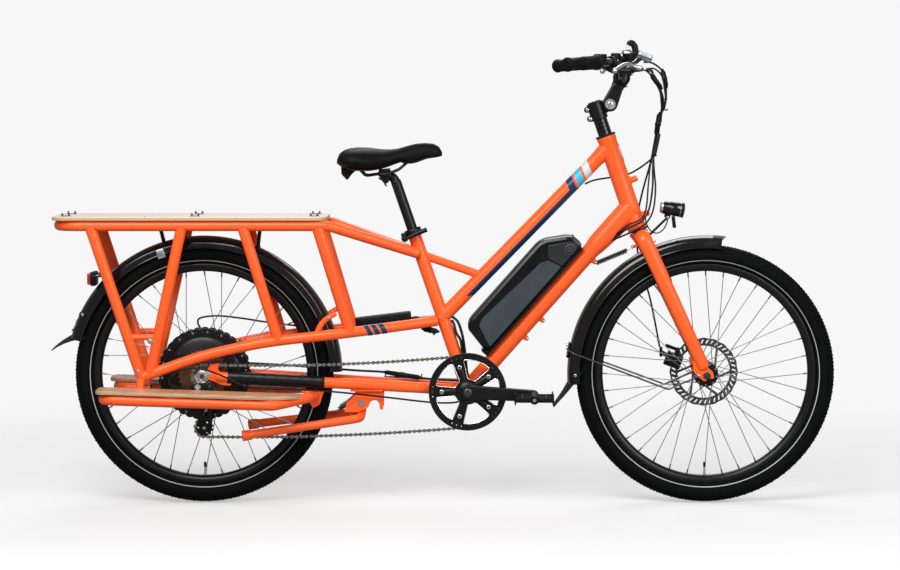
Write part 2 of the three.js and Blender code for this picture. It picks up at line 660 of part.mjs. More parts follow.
// The bar: its grips lie on straight ends that point outwards, backwards and a little down.
const GRIP_END = at(927, 335, 1139);
const GRIP_ROOT = at(1019, 223, 1146);
const gripAxis = GRIP_ROOT.clone().sub(GRIP_END).normalize();
function onGrip(distance, side) {
  const place = GRIP_END.clone().addScaledVector(gripAxis, distance);
  place.y *= side;
  return place;
}
const LEVER_PIVOT = { x: 1104, y: 170, z: 1136 };
function handlebar() {
  const half = [onGrip(8, 1), GRIP_ROOT, at(1078, 110, 1146), at(1085, 52, 1107)];
  const mirror = (p) => at(p.x, -p.y, p.z);
  const tube = bentTube([...half.map(mirror), ...half.toReversed()], 11.1, 12, 8, 2);
  const centre = crossRod(BAR_CENTRE, -34, 34, 15.8, 14);
  const perches = [-1, 1].flatMap((side) => [
    rod(at(1052, side * 156, 1146), at(1042, side * 174, 1146), 16, 10),
    bentTube(
      [at(1050, side * 162, 1138), at(1080, side * 167, 1121), at(1112, side * 171, 1119)], 7, 8, 6, 2,
    ),
  ]);
  const housing = rod(onGrip(124, -1), onGrip(133, -1), 19, 12);
  const shifterBody = rod(at(1084, -98, 1138), at(1078, -114, 1146), 17, 10);
  return join(tube, centre, ...perches, housing, shifterBody);
}
part("handlebar", handlebar(), BLACK_METAL);

const sleeve = (from, to, radius) =>
  cut(rod(from, to, radius, 12), rod(from.clone().lerp(to, 0.05), to.clone().lerp(from, -0.2), 12.6, 12));
part("grip_left", sleeve(onGrip(0, 1), onGrip(122, 1), 16.5), RUBBER);
part("grip_right", sleeve(onGrip(0, -1), onGrip(76, -1), 16.5), RUBBER);
part(
  "throttle",
  cut(rod(onGrip(78, -1), onGrip(122, -1), 17.5, 12), rod(onGrip(60, -1), onGrip(140, -1), 12.6, 12)),
  RUBBER,
);

// A brake lever, hung on an upright pin ahead of the bar and pointing outwards.
function brakeLever(side) {
  const { x, y, z } = LEVER_PIVOT;
  const boss = rod(at(x, side * y, z - 5), at(x, side * y, z + 7), 8, 10);
  const blade = bentTube(
    [at(x, side * y, z), at(1084, side * 216, 1138), at(1051, side * 288, 1125)], 5, 14, 8, 3,
  );
  return join(boss, blade);
}
part("brake_lever_right", brakeLever(-1), ALLOY);
part("brake_lever_left", brakeLever(1), ALLOY);

function display() {
  const screen = block(38, 66, 19, at(1143, 0, 1161), 0.34);
  const arms = [-1, 1].map((side) => rod(at(1094, side * 38, 1121), at(1134, side * 31, 1157), 4, 6));
  return join(screen, ...arms);
}
part("display", display(), BLACK_PLASTIC);

const BELL = at(1090, -136, 1168);
function bell() {
  const base = rod(at(0, 0, -6), at(0, 0, 0.5), 10, 12);
  const closedDome = turnedUp([[0, 14], [8, 11.5], [13, 5], [14, 0], [0, 0]], 12);
  const foot = rod(at(0, 0, -4), at(-12, 1, -13), 4, 6);
  return join(closedDome, base, foot).translate(BELL.x, BELL.y, BELL.z);
}
// A piece turned about an upright axis, as [radius, z].
function turnedUp(profile, sides) {
  return turned(profile, at(0, 0, 0), sides).rotateX(Math.PI / 2);
}
part("bell", bell(), ALLOY);
part("bell_striker", rod(at(1092, -153, 1166), at(1108, -156, 1168), 2.6, 8), BLACK_PLASTIC);
part(
  "shift_lever",
  bentTube(
    [at(1100, -100, 1152), at(1112, -100, 1168), at(1112, -100, 1186), at(1101, -100, 1198.5)], 6, 7, 8, 3,
  ),
  BLACK_PLASTIC,
);

// ---------------------------------------------------------------- wheels
function tyre(centre) {
  const { outer, inner, halfWidth } = TYRE;
  const half = [[inner, 15], [inner + 22, halfWidth], [outer - 13, 26], [outer, 11]];
  const profile = [...half, ...half.toReversed().map(([radius, y]) => [radius, -y]), half[0]];
  return turned(profile, centre, TYRE_SEGMENTS);
}
function rim(centre) {
  const { outer, inner, halfWidth } = RIM;
  const half = [[inner, 8], [inner + 12, halfWidth], [outer, halfWidth]];
  const profile = [...half, ...half.toReversed().map(([radius, y]) => [radius, -y]), half[0]];
  return turned(profile, centre, TYRE_SEGMENTS);
}

// Crossed spokes from two flanges to the rim, as thin three-sided bars.
function spokes(centre, flangeRadius, flangeSide, crossDegrees) {
  const bars = [];
  for (let i = 0; i < SPOKES; i++) {
    const side = i % 2 ? 1 : -1;
    const lean = Math.floor(i / 2) % 2 ? crossDegrees : -crossDegrees;
    const rimAngle = THREE.MathUtils.degToRad((360 / SPOKES) * i);
    const hubAngle = rimAngle + THREE.MathUtils.degToRad(lean);
    const layer = lean > 0 ? 1.5 : -1.5;
    const [hubSide, rimSide] = [side * flangeSide + layer, side * 3 + layer];
    const hubEnd = at(flangeRadius * Math.cos(hubAngle), hubSide, flangeRadius * Math.sin(hubAngle));
    const rimEnd = at((RIM.inner - 3) * Math.cos(rimAngle), rimSide, (RIM.inner - 3) * Math.sin(rimAngle));
    bars.push(rod(hubEnd, rimEnd, 1.2, 3));
  }
  return join(...bars.map((bar) => bar.translate(centre.x, 0, centre.z)));
}
function joinedWheelCentre(centre, hub, flangeRadius, flangeSide, crossDegrees) {
  return join(hub, spokes(centre, flangeRadius, flangeSide, crossDegrees));
}

const FRONT_DISC_SIDE = 38.2;
const REAR_DISC_SIDE = 46.2;
function frontHub() {
  const profile = [
    [6.6, -46], [13, -46], [13, -33], [32, -33], [32, -29], [16, -29],
    [16, 29], [32, 29], [32, 33], [20, 33], [20, 43], [13, 43], [13, 46], [6.6, 46], [6.6, -46],
  ];
  const disc = ring(90, 18, FRONT_DISC_SIDE - 1.2, FRONT_DISC_SIDE + 1.2, FRONT_AXLE, 24);
  return join(turned(profile, FRONT_AXLE, 12), disc);
}
function motorHub() {
  const profile = [
    [8.5, -34], [94, -34], [104, -30], [118, -26], [118, 22], [104, 27], [88, 34],
    [30, 38], [30, 54], [8.5, 54], [8.5, -34],
  ];
  const disc = ring(80, 26, REAR_DISC_SIDE - 1.2, REAR_DISC_SIDE + 1.2, REAR_AXLE, 24);
  return join(turned(profile, REAR_AXLE, 20), disc);
}
part("front_tyre", tyre(FRONT_AXLE), RUBBER);
part("front_rim", rim(FRONT_AXLE), BLACK_METAL);
part("front_hub", joinedWheelCentre(FRONT_AXLE, frontHub(), 28, 31, 52), BLACK_METAL);
part("rear_tyre", tyre(REAR_AXLE), RUBBER);
part("rear_rim", rim(REAR_AXLE), BLACK_METAL);
part("motor_hub", joinedWheelCentre(REAR_AXLE, motorHub(), 112, 20, 14), BLACK_METAL);

// ---------------------------------------------------------------- brakes
// A caliper: a block with a slot in which the disc runs.
function caliper(centre, [innerSide, outerSide], axle, discRadius, discSide, turn) {
  const middle = at(centre.x, (innerSide + outerSide) / 2, centre.z);
  const slot = ring(discRadius + 5, 10, discSide - 2.6, discSide + 2.6, axle, 24);
  return cut(block(46, outerSide - innerSide, 40, middle, turn), slot);
}
part(
  "front_brake_caliper",
  caliper(at(1226, 0, 368), [31, 50], FRONT_AXLE, 90, FRONT_DISC_SIDE, 0.38),
  BLACK_METAL,
);
part(
  "rear_brake_caliper",
  caliper(at(62, 0, 380), [40, 59], REAR_AXLE, 80, REAR_DISC_SIDE, -0.55),
  BLACK_METAL,
);

// ---------------------------------------------------------------- drivetrain
function cassette() {
  const steps = [[65, -36], [65, -40], [52, -40], [52, -44], [42, -44], [42, -48.5], [34, -48.5], [34, -53],
    [COG.pitch - TOOTH_CLEARANCE, -53], [COG.pitch - TOOTH_CLEARANCE, -63]];
  return turned([[8.6, -36], ...steps, [8.6, -63], [8.6, -36]], REAR_AXLE, 16);
}
part("cassette", cassette(), COPPER_STEEL);

// Each window of the chainring lies between two arms of its five-armed spider.
function chainringWindow(index) {
  const middle = THREE.MathUtils.degToRad(72 * index);
  const span = THREE.MathUtils.degToRad(22);
  const points = [];
  for (const [radius, from, to] of [[76, -span, span], [32, span * 0.7, -span * 0.7]]) {
    for (let i = 0; i <= 2; i++) {
      const angle = middle + from + ((to - from) * i) / 2;
      const offset = new THREE.Vector2(radius * Math.cos(angle), radius * Math.sin(angle));
      points.push(offset.add(new THREE.Vector2(CRANK_CENTRE.x, CRANK_CENTRE.z)));
    }
  }
  return new THREE.Path(points);
}
function chainring() {
  const disc = (radius, y0, y1) => {
    const outline = new THREE.Shape();
    outline.absarc(CRANK_CENTRE.x, CRANK_CENTRE.z, radius, 0, 2 * Math.PI, false);
    const points = outline.getPoints(14).slice(0, -1);
    return plate(new THREE.Shape(points), y0, y1, [0, 1, 2, 3, 4].map(chainringWindow));
  };
  return join(
    disc(CHAINRING.guard, -65.5, -62.5),
    disc(CHAINRING.pitch - TOOTH_CLEARANCE, -62.6, -56.5),
    crossRod(CRANK_CENTRE, -86, -56.5, 19, 12),
  );
}
const crankEnd = (side) =>
  at(
    CRANK_CENTRE.x - side * CRANK.length * Math.cos(CRANK.drop),
    0,
    CRANK_CENTRE.z + side * CRANK.length * Math.sin(CRANK.drop),
  );
function crankset() {
  const arms = [-1, 1].flatMap((side) => {
    const inner = side > 0 ? 70 : -84;
    return [
      plate(linkOutline(CRANK_CENTRE, crankEnd(side), 18, 12), inner, inner + 14),
      crossRod(crankEnd(side), side * 72, side * 188, 4.6, 8),
    ];
  });
  const axle = crossRod(CRANK_CENTRE, -80, 80, 8.2, 10);
  return join(chainring(), ...arms, axle);
}
part("crankset", crankset(), BLACK_METAL);

for (const [name, side] of [["right", -1], ["left", 1]]) {
  const centre = crankEnd(side);
  const [y0, y1] = [side * 92, side * 186].toSorted((a, b) => a - b);
  const outline = [
    [-52, -6], [-40, -14], [40, -14], [52, -6], [52, 6], [40, 14], [-40, 14], [-52, 6],
  ].map(([x, z]) => [centre.x + x, centre.z + z]);
  part("pedal_" + name, cut(plate(outline, y0, y1), crossRod(centre, -200, 200, 5.6, 10)), BLACK_PLASTIC);
}

// The chain: pulled round its wheels in turn. A wheel with turn 1 is passed clockwise as seen from
// the right of the bicycle, and one with turn -1 the other way.
const CHAIN_WHEELS = [
  { x: CRANK_CENTRE.x, z: CRANK_CENTRE.z, radius: CHAINRING.pitch, turn: 1, steps: 14, sag: 9 },
  { x: JOCKEY_LOW.x, z: JOCKEY_LOW.z, radius: JOCKEY_LOW.pitch, turn: 1, steps: 6, sag: 0 },
  { x: JOCKEY_UP.x, z: JOCKEY_UP.z, radius: JOCKEY_UP.pitch, turn: -1, steps: 5, sag: 0 },
  { x: REAR_AXLE.x, z: REAR_AXLE.z, radius: COG.pitch, turn: 1, steps: 6, sag: 11 },
];
function chainLine() {
  const headings = CHAIN_WHEELS.map((wheel, i) => {
    const next = CHAIN_WHEELS[(i + 1) % CHAIN_WHEELS.length];
    const [dx, dz] = [next.x - wheel.x, next.z - wheel.z];
    const offset = wheel.radius * wheel.turn - next.radius * next.turn;
    return Math.atan2(dz, dx) - Math.asin(offset / Math.hypot(dx, dz));
  });
  const onWheel = (wheel, heading) => {
    const reach = wheel.radius * wheel.turn;
    return [wheel.x - reach * Math.sin(heading), wheel.z + reach * Math.cos(heading)];
  };
  const line = [];
  CHAIN_WHEELS.forEach((wheel, i) => {
    const arriving = headings[(i + CHAIN_WHEELS.length - 1) % CHAIN_WHEELS.length];
    const full = 2 * Math.PI;
    const turned = ((((arriving - headings[i]) * wheel.turn) % full) + full) % full;
    for (let k = 0; k <= wheel.steps; k++) {
      line.push(onWheel(wheel, arriving - (wheel.turn * turned * k) / wheel.steps));
    }
    const next = CHAIN_WHEELS[(i + 1) % CHAIN_WHEELS.length];
    const [start, end] = [onWheel(wheel, headings[i]), onWheel(next, headings[i])];
    for (let k = 1; wheel.sag && k < 8; k++) {
      const u = k / 8;
      const drop = 4 * wheel.sag * u * (1 - u);
      line.push([start[0] + (end[0] - start[0]) * u, start[1] + (end[1] - start[1]) * u - drop]);
    }
  });
  return line;
}
function chain() {
  const line = chainLine();
  const offset = (distance) =>
    line.map(([x, z], i) => {
      const [before, after] = [line.at(i - 1), line[(i + 1) % line.length]];
      const [dx, dz] = [after[0] - before[0], after[1] - before[1]];
      const length = Math.hypot(dx, dz);
      return new THREE.Vector2(x - (distance * dz) / length, z + (distance * dx) / length);
    });
  const outline = new THREE.Shape(offset(CHAIN.halfHeight));
  const hole = new THREE.Path(offset(-CHAIN.halfHeight).reverse());
  return plate(outline, CHAIN.side - CHAIN.halfWidth, CHAIN.side + CHAIN.halfWidth, [hole]);
}
part("chain", chain(), STEEL);

const jockeyDisc = (wheel) =>
  ring(wheel.pitch - TOOTH_CLEARANCE, 4.6, CHAIN.side - 2, CHAIN.side + 2, at(wheel.x, 0, wheel.z), 14);
part("jockey_upper", jockeyDisc(JOCKEY_UP), BLACK_PLASTIC);
part("jockey_lower", jockeyDisc(JOCKEY_LOW), BLACK_PLASTIC);

function derailleurCage() {
  const cheek = (y0, y1) => plate(linkOutline(JOCKEY_UP, JOCKEY_LOW, 17, 26, 8), y0, y1);
  const outer = CHAIN.side - CHAIN.halfWidth - 1;
  const inner = CHAIN.side + CHAIN.halfWidth + 1;
  const pins = [JOCKEY_UP, JOCKEY_LOW].map((wheel) =>
    crossRod(at(wheel.x, 0, wheel.z), outer - 2, inner + 2, 3.6, 8),
  );
  return join(cheek(outer - 2, outer), cheek(inner, inner + 2), ...pins);
}
part("derailleur_cage", derailleurCage(), BLACK_METAL);

function derailleurBody() {
  const knuckle = plate(
    [[-36, 322], [-14, 332], [22, 318], [26, 296], [12, 274], [-12, 276], [-30, 296]], -88, -66.2,
  );
  const hanger = crossRod(at(20, 0, 312), -92, -66.2, 9, 10);
  return cut(join(knuckle, hanger), crossRod(REAR_AXLE, -90, -60, 14, 12), plate(DROPOUT, -72, -64));
}
part("derailleur_body", derailleurBody(), ALLOY);

// ---------------------------------------------------------------- cables and the steering spring
part("steering_spring", rod(at(1024, 0, 624), at(1098, 0, 658), 5.8, 8), BLACK_METAL);
part(
  "bar_cables",
  cable(
    [
      at(1164, 0, 1150), at(1180, 0, 1145), at(1198, 0, 1122),
      at(1201, 0, 1070), at(1197, 0, 1028), at(1186, 0, 990),
    ],
    7, 14, 8,
  ),
  BLACK_PLASTIC,
);
function frameCables() {
  const trunk = [at(1185, 0, 986), at(1176, -2, 930), at(1168, -6, 900)];
  const toDownTube = cable(
    [
      ...trunk, at(1165, -22, 850), at(1160, -34, 790), at(1144, -38, 745),
      at(1112, -40, 726), at(1084, -30, 706), at(1070, -14, 690),
    ],
    3.6, 18, 8,
  );
  const toTopTube = cable(
    [
      ...trunk, at(1152, 18, 886), at(1118, 38, 862), at(1060, 38, 849),
      at(1010, 20, 840), at(990, 5, 828),
    ],
    3.6, 12, 8,
  );
  return join(toDownTube, toTopTube);
}
part("frame_cables", frameCables(), BLACK_PLASTIC);
part(
  "front_brake_cable",
  cable(
    [at(1178, 10, 976), at(1164, 30, 890), at(1142, 56, 800), at(1130, 76, 715), at(1140, 78, 630),
      at(1160, 68, 560), at(1178, 60, 470), at(1207, 52, 401)],
    2.5, 16, 8,
  ),
  BLACK_PLASTIC,
);
part(
  "rear_shift_cable",
  cable(
    [at(660, -16, 268), at(560, -40, 282), at(460, -50, 287), at(360, -64, 304), at(240, -86, 318),
      at(120, -100, 326), at(40, -104, 352), at(-30, -104, 352), at(-52, -94, 330), at(-38, -84, 308)],
    2.5, 20, 8,
  ),
  BLACK_PLASTIC,
);

bicycle.position.x = -MID_LENGTH;
export default bicycle;
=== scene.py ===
# The looks of a long-tail cargo bicycle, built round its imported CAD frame.
# Places are in millimetres, with X counted forward from the rear axle. at() turns them into
# the frame's metres.
import math
import random

import bmesh
import bpy
from mathutils import Matrix, Vector


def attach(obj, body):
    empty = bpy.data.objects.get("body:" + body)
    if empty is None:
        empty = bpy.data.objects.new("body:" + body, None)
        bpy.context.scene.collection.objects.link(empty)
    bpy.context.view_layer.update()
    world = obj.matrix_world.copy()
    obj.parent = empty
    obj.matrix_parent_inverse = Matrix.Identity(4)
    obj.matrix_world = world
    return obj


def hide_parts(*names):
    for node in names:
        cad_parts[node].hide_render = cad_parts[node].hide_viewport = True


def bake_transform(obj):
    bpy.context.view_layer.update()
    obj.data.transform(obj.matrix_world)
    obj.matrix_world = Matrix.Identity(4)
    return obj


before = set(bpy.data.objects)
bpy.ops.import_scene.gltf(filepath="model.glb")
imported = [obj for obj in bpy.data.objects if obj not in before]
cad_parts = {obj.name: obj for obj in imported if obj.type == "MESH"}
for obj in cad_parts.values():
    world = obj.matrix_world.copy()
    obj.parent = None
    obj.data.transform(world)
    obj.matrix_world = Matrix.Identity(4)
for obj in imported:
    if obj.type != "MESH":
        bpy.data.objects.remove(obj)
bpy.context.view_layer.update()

random.seed(7)

# ---------------------------------------------------------------- places
MID_LENGTH = 623.5
AXLE_HIGH, WHEELBASE = 338, 1306
CRANK_X, CRANK_Z = 686, 296
HEAD_X, HEAD_Z, HEAD_LENGTH, HEAD_RADIUS = 1044, 958, 260, 24
SEAT_X, SEAT_Z, SEAT_RADIUS, SEAT_BORE = 546, 704, 17, 15.8
DOWN_END_X, DOWN_END_Z = 1108, 772
TOP_RADIUS = 18.5
SHELL_RADIUS, SHELL_HALF = 21, 36
LEAN_DEGREES = 19
LEAN = math.radians(LEAN_DEGREES)
SIN_LEAN, COS_LEAN = math.sin(LEAN), math.cos(LEAN)
X, Y, Z = Vector((1, 0, 0)), Vector((0, 1, 0)), Vector((0, 0, 1))


def at(x, y, z):
    return Vector(((x - MID_LENGTH) / 1000, y / 1000, z / 1000))


def mm(value):
    return value / 1000


def leaning(x, z, down, ahead, side):
    return at(x + down * SIN_LEAN + ahead * COS_LEAN, side, z - down * COS_LEAN + ahead * SIN_LEAN)


def on_head(down, ahead=0.0, side=0.0):
    return leaning(HEAD_X, HEAD_Z, down, ahead, side)


def on_seat(down, ahead=0.0, side=0.0):
    return leaning(SEAT_X, SEAT_Z, down, ahead, side)


DOWN_ANGLE = math.atan2(DOWN_END_Z - CRANK_Z, DOWN_END_X - CRANK_X)
DOWN_COS, DOWN_SIN = math.cos(DOWN_ANGLE), math.sin(DOWN_ANGLE)


def on_down(along, above=0.0, side=0.0):
    x = CRANK_X + along * DOWN_COS - above * DOWN_SIN
    return at(x, side, CRANK_Z + along * DOWN_SIN + above * DOWN_COS)


HEAD_AXIS = (on_head(-100) - on_head(0)).normalized()
HEAD_AHEAD = (on_head(0, 100) - on_head(0)).normalized()
DOWN_AXIS = (on_down(100) - on_down(0)).normalized()
DOWN_ABOVE = (on_down(0, 1) - on_down(0)).normalized()
REAR_AXLE = at(0, 0, AXLE_HIGH)
FRONT_AXLE = at(WHEELBASE, 0, AXLE_HIGH)
CRANK_CENTRE = at(CRANK_X, 0, CRANK_Z)
STEM_PIVOT = at(1055, 0, 1039)
BAR_CENTRE = at(1085, 0, 1107)


# ---------------------------------------------------------------- materials
class Look:
    """A procedural material: a principled shader with colour, roughness and bump driven by textures."""

    def __init__(self, name, colour, rough, metallic=0.0, **sockets):
        self.material = bpy.data.materials.new(name)
        self.material.use_nodes = True
        self.tree = self.material.node_tree
        self.shader = self.tree.nodes["Principled BSDF"]
        self.shader.inputs["Metallic"].default_value = metallic
        self.shader.inputs["Base Color"].default_value = (*colour, 1)
        self.shader.inputs["Roughness"].default_value = rough
        for key, value in sockets.items():
            self.shader.inputs[key.replace("_", " ")].default_value = value
        self.colour = colour
        self.place = self.node("ShaderNodeTexCoord").outputs["Object"]

    def node(self, kind, **settings):
        made = self.tree.nodes.new(kind)
        for key, value in settings.items():
            setattr(made, key, value)
        return made

    def link(self, source, target):
        self.tree.links.new(source, target)

    def noise(self, scale, detail=3.0, stretch=(1, 1, 1)):
        mapping = self.node("ShaderNodeMapping")
        mapping.inputs["Scale"].default_value = stretch
        self.link(self.place, mapping.inputs["Vector"])
        made = self.node("ShaderNodeTexNoise")
        made.inputs["Scale"].default_value = scale
        made.inputs["Detail"].default_value = detail
        self.link(mapping.outputs[0], made.inputs["Vector"])
        return made.outputs["Fac"]

    def ramp(self, source, stops):
        made = self.node("ShaderNodeValToRGB")
        ends = made.color_ramp.elements
        for index, (place, colour) in enumerate(stops):
            stop = ends[index] if index < 2 else ends.new(place)
            stop.position = place
            stop.color = (*colour, 1)
        self.link(source, made.inputs["Fac"])
        return made.outputs["Color"]

    def vary_colour(self, source, amount, tint=(1, 1, 1)):
        low = tuple(c * (1 - amount) for c in self.colour)
        high = tuple(min(1, c * (1 + amount) * t) for c, t in zip(self.colour, tint))
        self.link(self.ramp(source, [(0.3, low), (0.7, high)]), self.shader.inputs["Base Color"])
        return self

    def vary_rough(self, source, low, high):
        spread = self.node("ShaderNodeMapRange")
        spread.inputs["From Min"].default_value = 0.3
        spread.inputs["From Max"].default_value = 0.7
        spread.inputs["To Min"].default_value = low
        spread.inputs["To Max"].default_value = high
        self.link(source, spread.inputs["Value"])
        self.link(spread.outputs["Result"], self.shader.inputs["Roughness"])
        return self

    def bump(self, source, strength, depth_mm):
        made = self.node("ShaderNodeBump")
        made.inputs["Strength"].default_value = strength
        made.inputs["Distance"].default_value = mm(depth_mm)
        self.link(source, made.inputs["Height"])
        self.link(made.outputs["Normal"], self.shader.inputs["Normal"])
        return self


def paint(name, colour, rough=0.3, coat=0.25):
    look = Look(name, colour, rough, Coat_Weight=coat, Coat_Roughness=0.12, Specular_IOR_Level=0.25)
    look.vary_colour(look.noise(7, 2), 0.035)
    look.vary_rough(look.noise(45, 4), rough - 0.05, rough + 0.07)
    return look.bump(look.noise(900, 2), 0.06, 0.2).material


def metal(name, colour, rough, stretch=(1, 1, 1), scale=300):
    look = Look(name, colour, rough, 1.0)
    look.vary_colour(look.noise(30, 3), 0.06)
    look.vary_rough(look.noise(scale, 4, stretch), rough - 0.07, rough + 0.1)
    return look.bump(look.noise(scale * 3, 2, stretch), 0.05, 0.1).material


def plastic(name, colour, rough, grain=1600, depth=0.12, strength=0.25, **sockets):
    look = Look(name, colour, rough, 0.0, **sockets)
    look.vary_colour(look.noise(12, 3), 0.15)
    look.vary_rough(look.noise(60, 4), rough - 0.06, rough + 0.08)
    return look.bump(look.noise(grain, 3), strength, depth).material


def plywood(name, face, dark_face, edge_light, edge_dark, layers_from, layer_mm):
    """Veneer with its grain along the bicycle on level faces, and stacked layers on the edges."""
    look = Look(name, face, 0.42, Coat_Weight=0.35, Coat_Roughness=0.25)
    grain = look.noise(22, 8, (1, 14, 14))
    streak = look.noise(160, 5, (0.12, 3.5, 3.5))
    mixed = look.node("ShaderNodeMix", data_type="FLOAT")
    mixed.inputs["Factor"].default_value = 0.45
    look.link(grain, mixed.inputs["A"])
    look.link(streak, mixed.inputs["B"])
    top = look.ramp(mixed.outputs["Result"], [(0.34, dark_face), (0.62, face)])
    split = look.node("ShaderNodeSeparateXYZ")
    look.link(look.place, split.inputs[0])
    steps = look.node("ShaderNodeMath", operation="MULTIPLY_ADD")
    look.link(split.outputs["Z"], steps.inputs[0])
    steps.inputs[1].default_value = 1000 / layer_mm
    steps.inputs[2].default_value = -layers_from / layer_mm
    fraction = look.node("ShaderNodeMath", operation="FRACT")
    look.link(steps.outputs[0], fraction.inputs[0])
    edge = look.ramp(fraction.outputs[0], [(0.42, edge_light), (0.5, edge_dark), (0.95, edge_dark)])
    normal = look.node("ShaderNodeNewGeometry").outputs["Normal"]
    upright = look.node("ShaderNodeSeparateXYZ")
    look.link(normal, upright.inputs[0])
    level = look.node("ShaderNodeMath", operation="ABSOLUTE")
    look.link(upright.outputs["Z"], level.inputs[0])
    is_face = look.node("ShaderNodeMath", operation="GREATER_THAN")
    is_face.inputs[1].default_value = 0.8
    look.link(level.outputs[0], is_face.inputs[0])
    choose = look.node("ShaderNodeMix", data_type="RGBA")
    look.link(is_face.outputs[0], choose.inputs["Factor"])
    look.link(edge, choose.inputs["A"])
    look.link(top, choose.inputs["B"])
    look.link(choose.outputs["Result"], look.shader.inputs["Base Color"])
    return look.bump(mixed.outputs["Result"], 0.12, 0.3).material


ORANGE = paint("orange_powder_coat", (1.0, 0.118, 0.02), 0.32, 0.12)
NAVY = paint("navy_paint", (0.006, 0.038, 0.105))
CYAN = paint("cyan_paint", (0.045, 0.46, 0.69))
SILVER_PAINT = paint("silver_paint", (0.6, 0.63, 0.67))
BLACK = paint("satin_black_paint", (0.0045, 0.0045, 0.005), 0.32, 0.06)
GLOSS = paint("gloss_black", (0.0028, 0.0028, 0.0034), 0.12, 0.55)
PLASTIC = plastic("moulded_black_plastic", (0.006, 0.006, 0.0068), 0.4, Specular_IOR_Level=0.14)
GREY_PLASTIC = plastic("moulded_grey_plastic", (0.09, 0.095, 0.1), 0.45)
SLATE = plastic("slate_panel", (0.037, 0.047, 0.06), 0.4, Specular_IOR_Level=0.25)
RUBBER = plastic("tyre_rubber", (0.0036, 0.0038, 0.004), 0.6, 1100, 0.25, 0.5, Specular_IOR_Level=0.05)
GRIP = plastic("grip_rubber", (0.0045, 0.0047, 0.005), 0.5, 1500, 0.25, 0.5, Specular_IOR_Level=0.1)
CABLE = plastic("cable_jacket", (0.005, 0.005, 0.0055), 0.34, 2400, 0.05, 0.15, Specular_IOR_Level=0.25)
STRIPE = plastic("sidewall_stripe", (0.42, 0.44, 0.44), 0.4)
ALLOY = metal("polished_alloy", (0.72, 0.73, 0.75), 0.24)
STEEL = metal("bright_steel", (0.6, 0.6, 0.6), 0.27)
DARK_STEEL = metal("dark_steel", (0.1, 0.1, 0.105), 0.35)
CHAIN_STEEL = metal("oiled_chain_steel", (0.36, 0.33, 0.29), 0.35)
COG_STEEL = metal("brown_cog_steel", (0.2, 0.1, 0.062), 0.33)
DISC_STEEL = metal("brake_disc_steel", (0.1, 0.1, 0.105), 0.34, (1, 1, 1), 700)
SPOKE_STEEL = plastic("spoke_steel", (0.2, 0.2, 0.205), 0.4, Metallic=0.5)
CASE_BLACK = paint("case_black", (0.003, 0.003, 0.0038), 0.24, 0.12)
CASE_SILVER = metal("case_silver", (0.42, 0.43, 0.44), 0.4)
END_GREY = plastic("end_panel", (0.016, 0.018, 0.021), 0.22, Specular_IOR_Level=0.6)
DECK_PLY = plywood("birch_deck", (0.86, 0.76, 0.66), (0.76, 0.62, 0.5), (0.74, 0.5, 0.33),
                   (0.45, 0.26, 0.15), 741.9, 1.8)
BOARD_PLY = plywood("oiled_board", (0.66, 0.33, 0.16), (0.5, 0.22, 0.1), (0.72, 0.52, 0.33),
                    (0.25, 0.12, 0.06), 296.0, 3.0)
RED_LENS = Look("red_lens", (0.42, 0.012, 0.012), 0.12, Coat_Weight=1.0, Coat_Roughness=0.04).material
CLEAR_LENS = Look("clear_lens", (0.72, 0.75, 0.78), 0.06, Coat_Weight=1.0, Coat_Roughness=0.03).material
SCREEN = Look("display_glass", (0.12, 0.135, 0.15), 0.08, Coat_Weight=1.0, Coat_Roughness=0.03).material


def vinyl():
    look = Look("saddle_vinyl", (0.0036, 0.0036, 0.004), 0.42, Specular_IOR_Level=0.1)
    cells = look.node("ShaderNodeTexVoronoi", feature="DISTANCE_TO_EDGE")
    cells.inputs["Scale"].default_value = 620
    look.link(look.place, cells.inputs["Vector"])
    look.vary_colour(look.noise(20, 3), 0.2)
    look.vary_rough(look.noise(40, 4), 0.42, 0.58)
    return look.bump(cells.outputs["Distance"], 0.4, 0.25).material


VINYL = vinyl()


# ---------------------------------------------------------------- shape tools
def frame_across(direction):
    """Two unit vectors across a direction."""
    direction = direction.normalized()
    helper = Z if abs(direction.z) < 0.9 else X
    first = direction.cross(helper).normalized()
    return first, direction.cross(first).normalized()


def curve_through(points, per=8, closed=False):
    """A smooth line through points (Catmull-Rom)."""
    count = len(points)
    line = []
    for i in range(count if closed else count - 1):
        if closed:
            a, b, c, d = (points[(i + k) % count] for k in (-1, 0, 1, 2))
        else:
            a, b, c, d = (points[max(0, min(count - 1, i + k))] for k in (-1, 0, 1, 2))
        for k in range(per):
            t = k / per
            line.append(
                b + (c - a) * (t / 2) + (a * 2 - b * 5 + c * 4 - d) * (t * t / 2)
                + (b * 3 - a - c * 3 + d) * (t * t * t / 2)
            )
    if not closed:
        line.append(points[-1].copy())
    return line


def rounded_line(corners, bend_mm, steps=10):
    """A line through corners, each rounded by an arc-like curve of about the given radius."""
    line = [corners[0].copy()]
    for before, here, after in zip(corners, corners[1:], corners[2:]):
        into, out = (before - here), (after - here)
        half = into.angle(out) / 2
        reach = min(mm(bend_mm) / math.tan(half), into.length * 0.49, out.length * 0.49)
        start, end = here + into.normalized() * reach, here + out.normalized() * reach
        for k in range(steps + 1):
            t = k / steps
            line.append(start * (1 - t) ** 2 + here * (2 * t * (1 - t)) + end * t ** 2)
    line.append(corners[-1].copy())
    return line


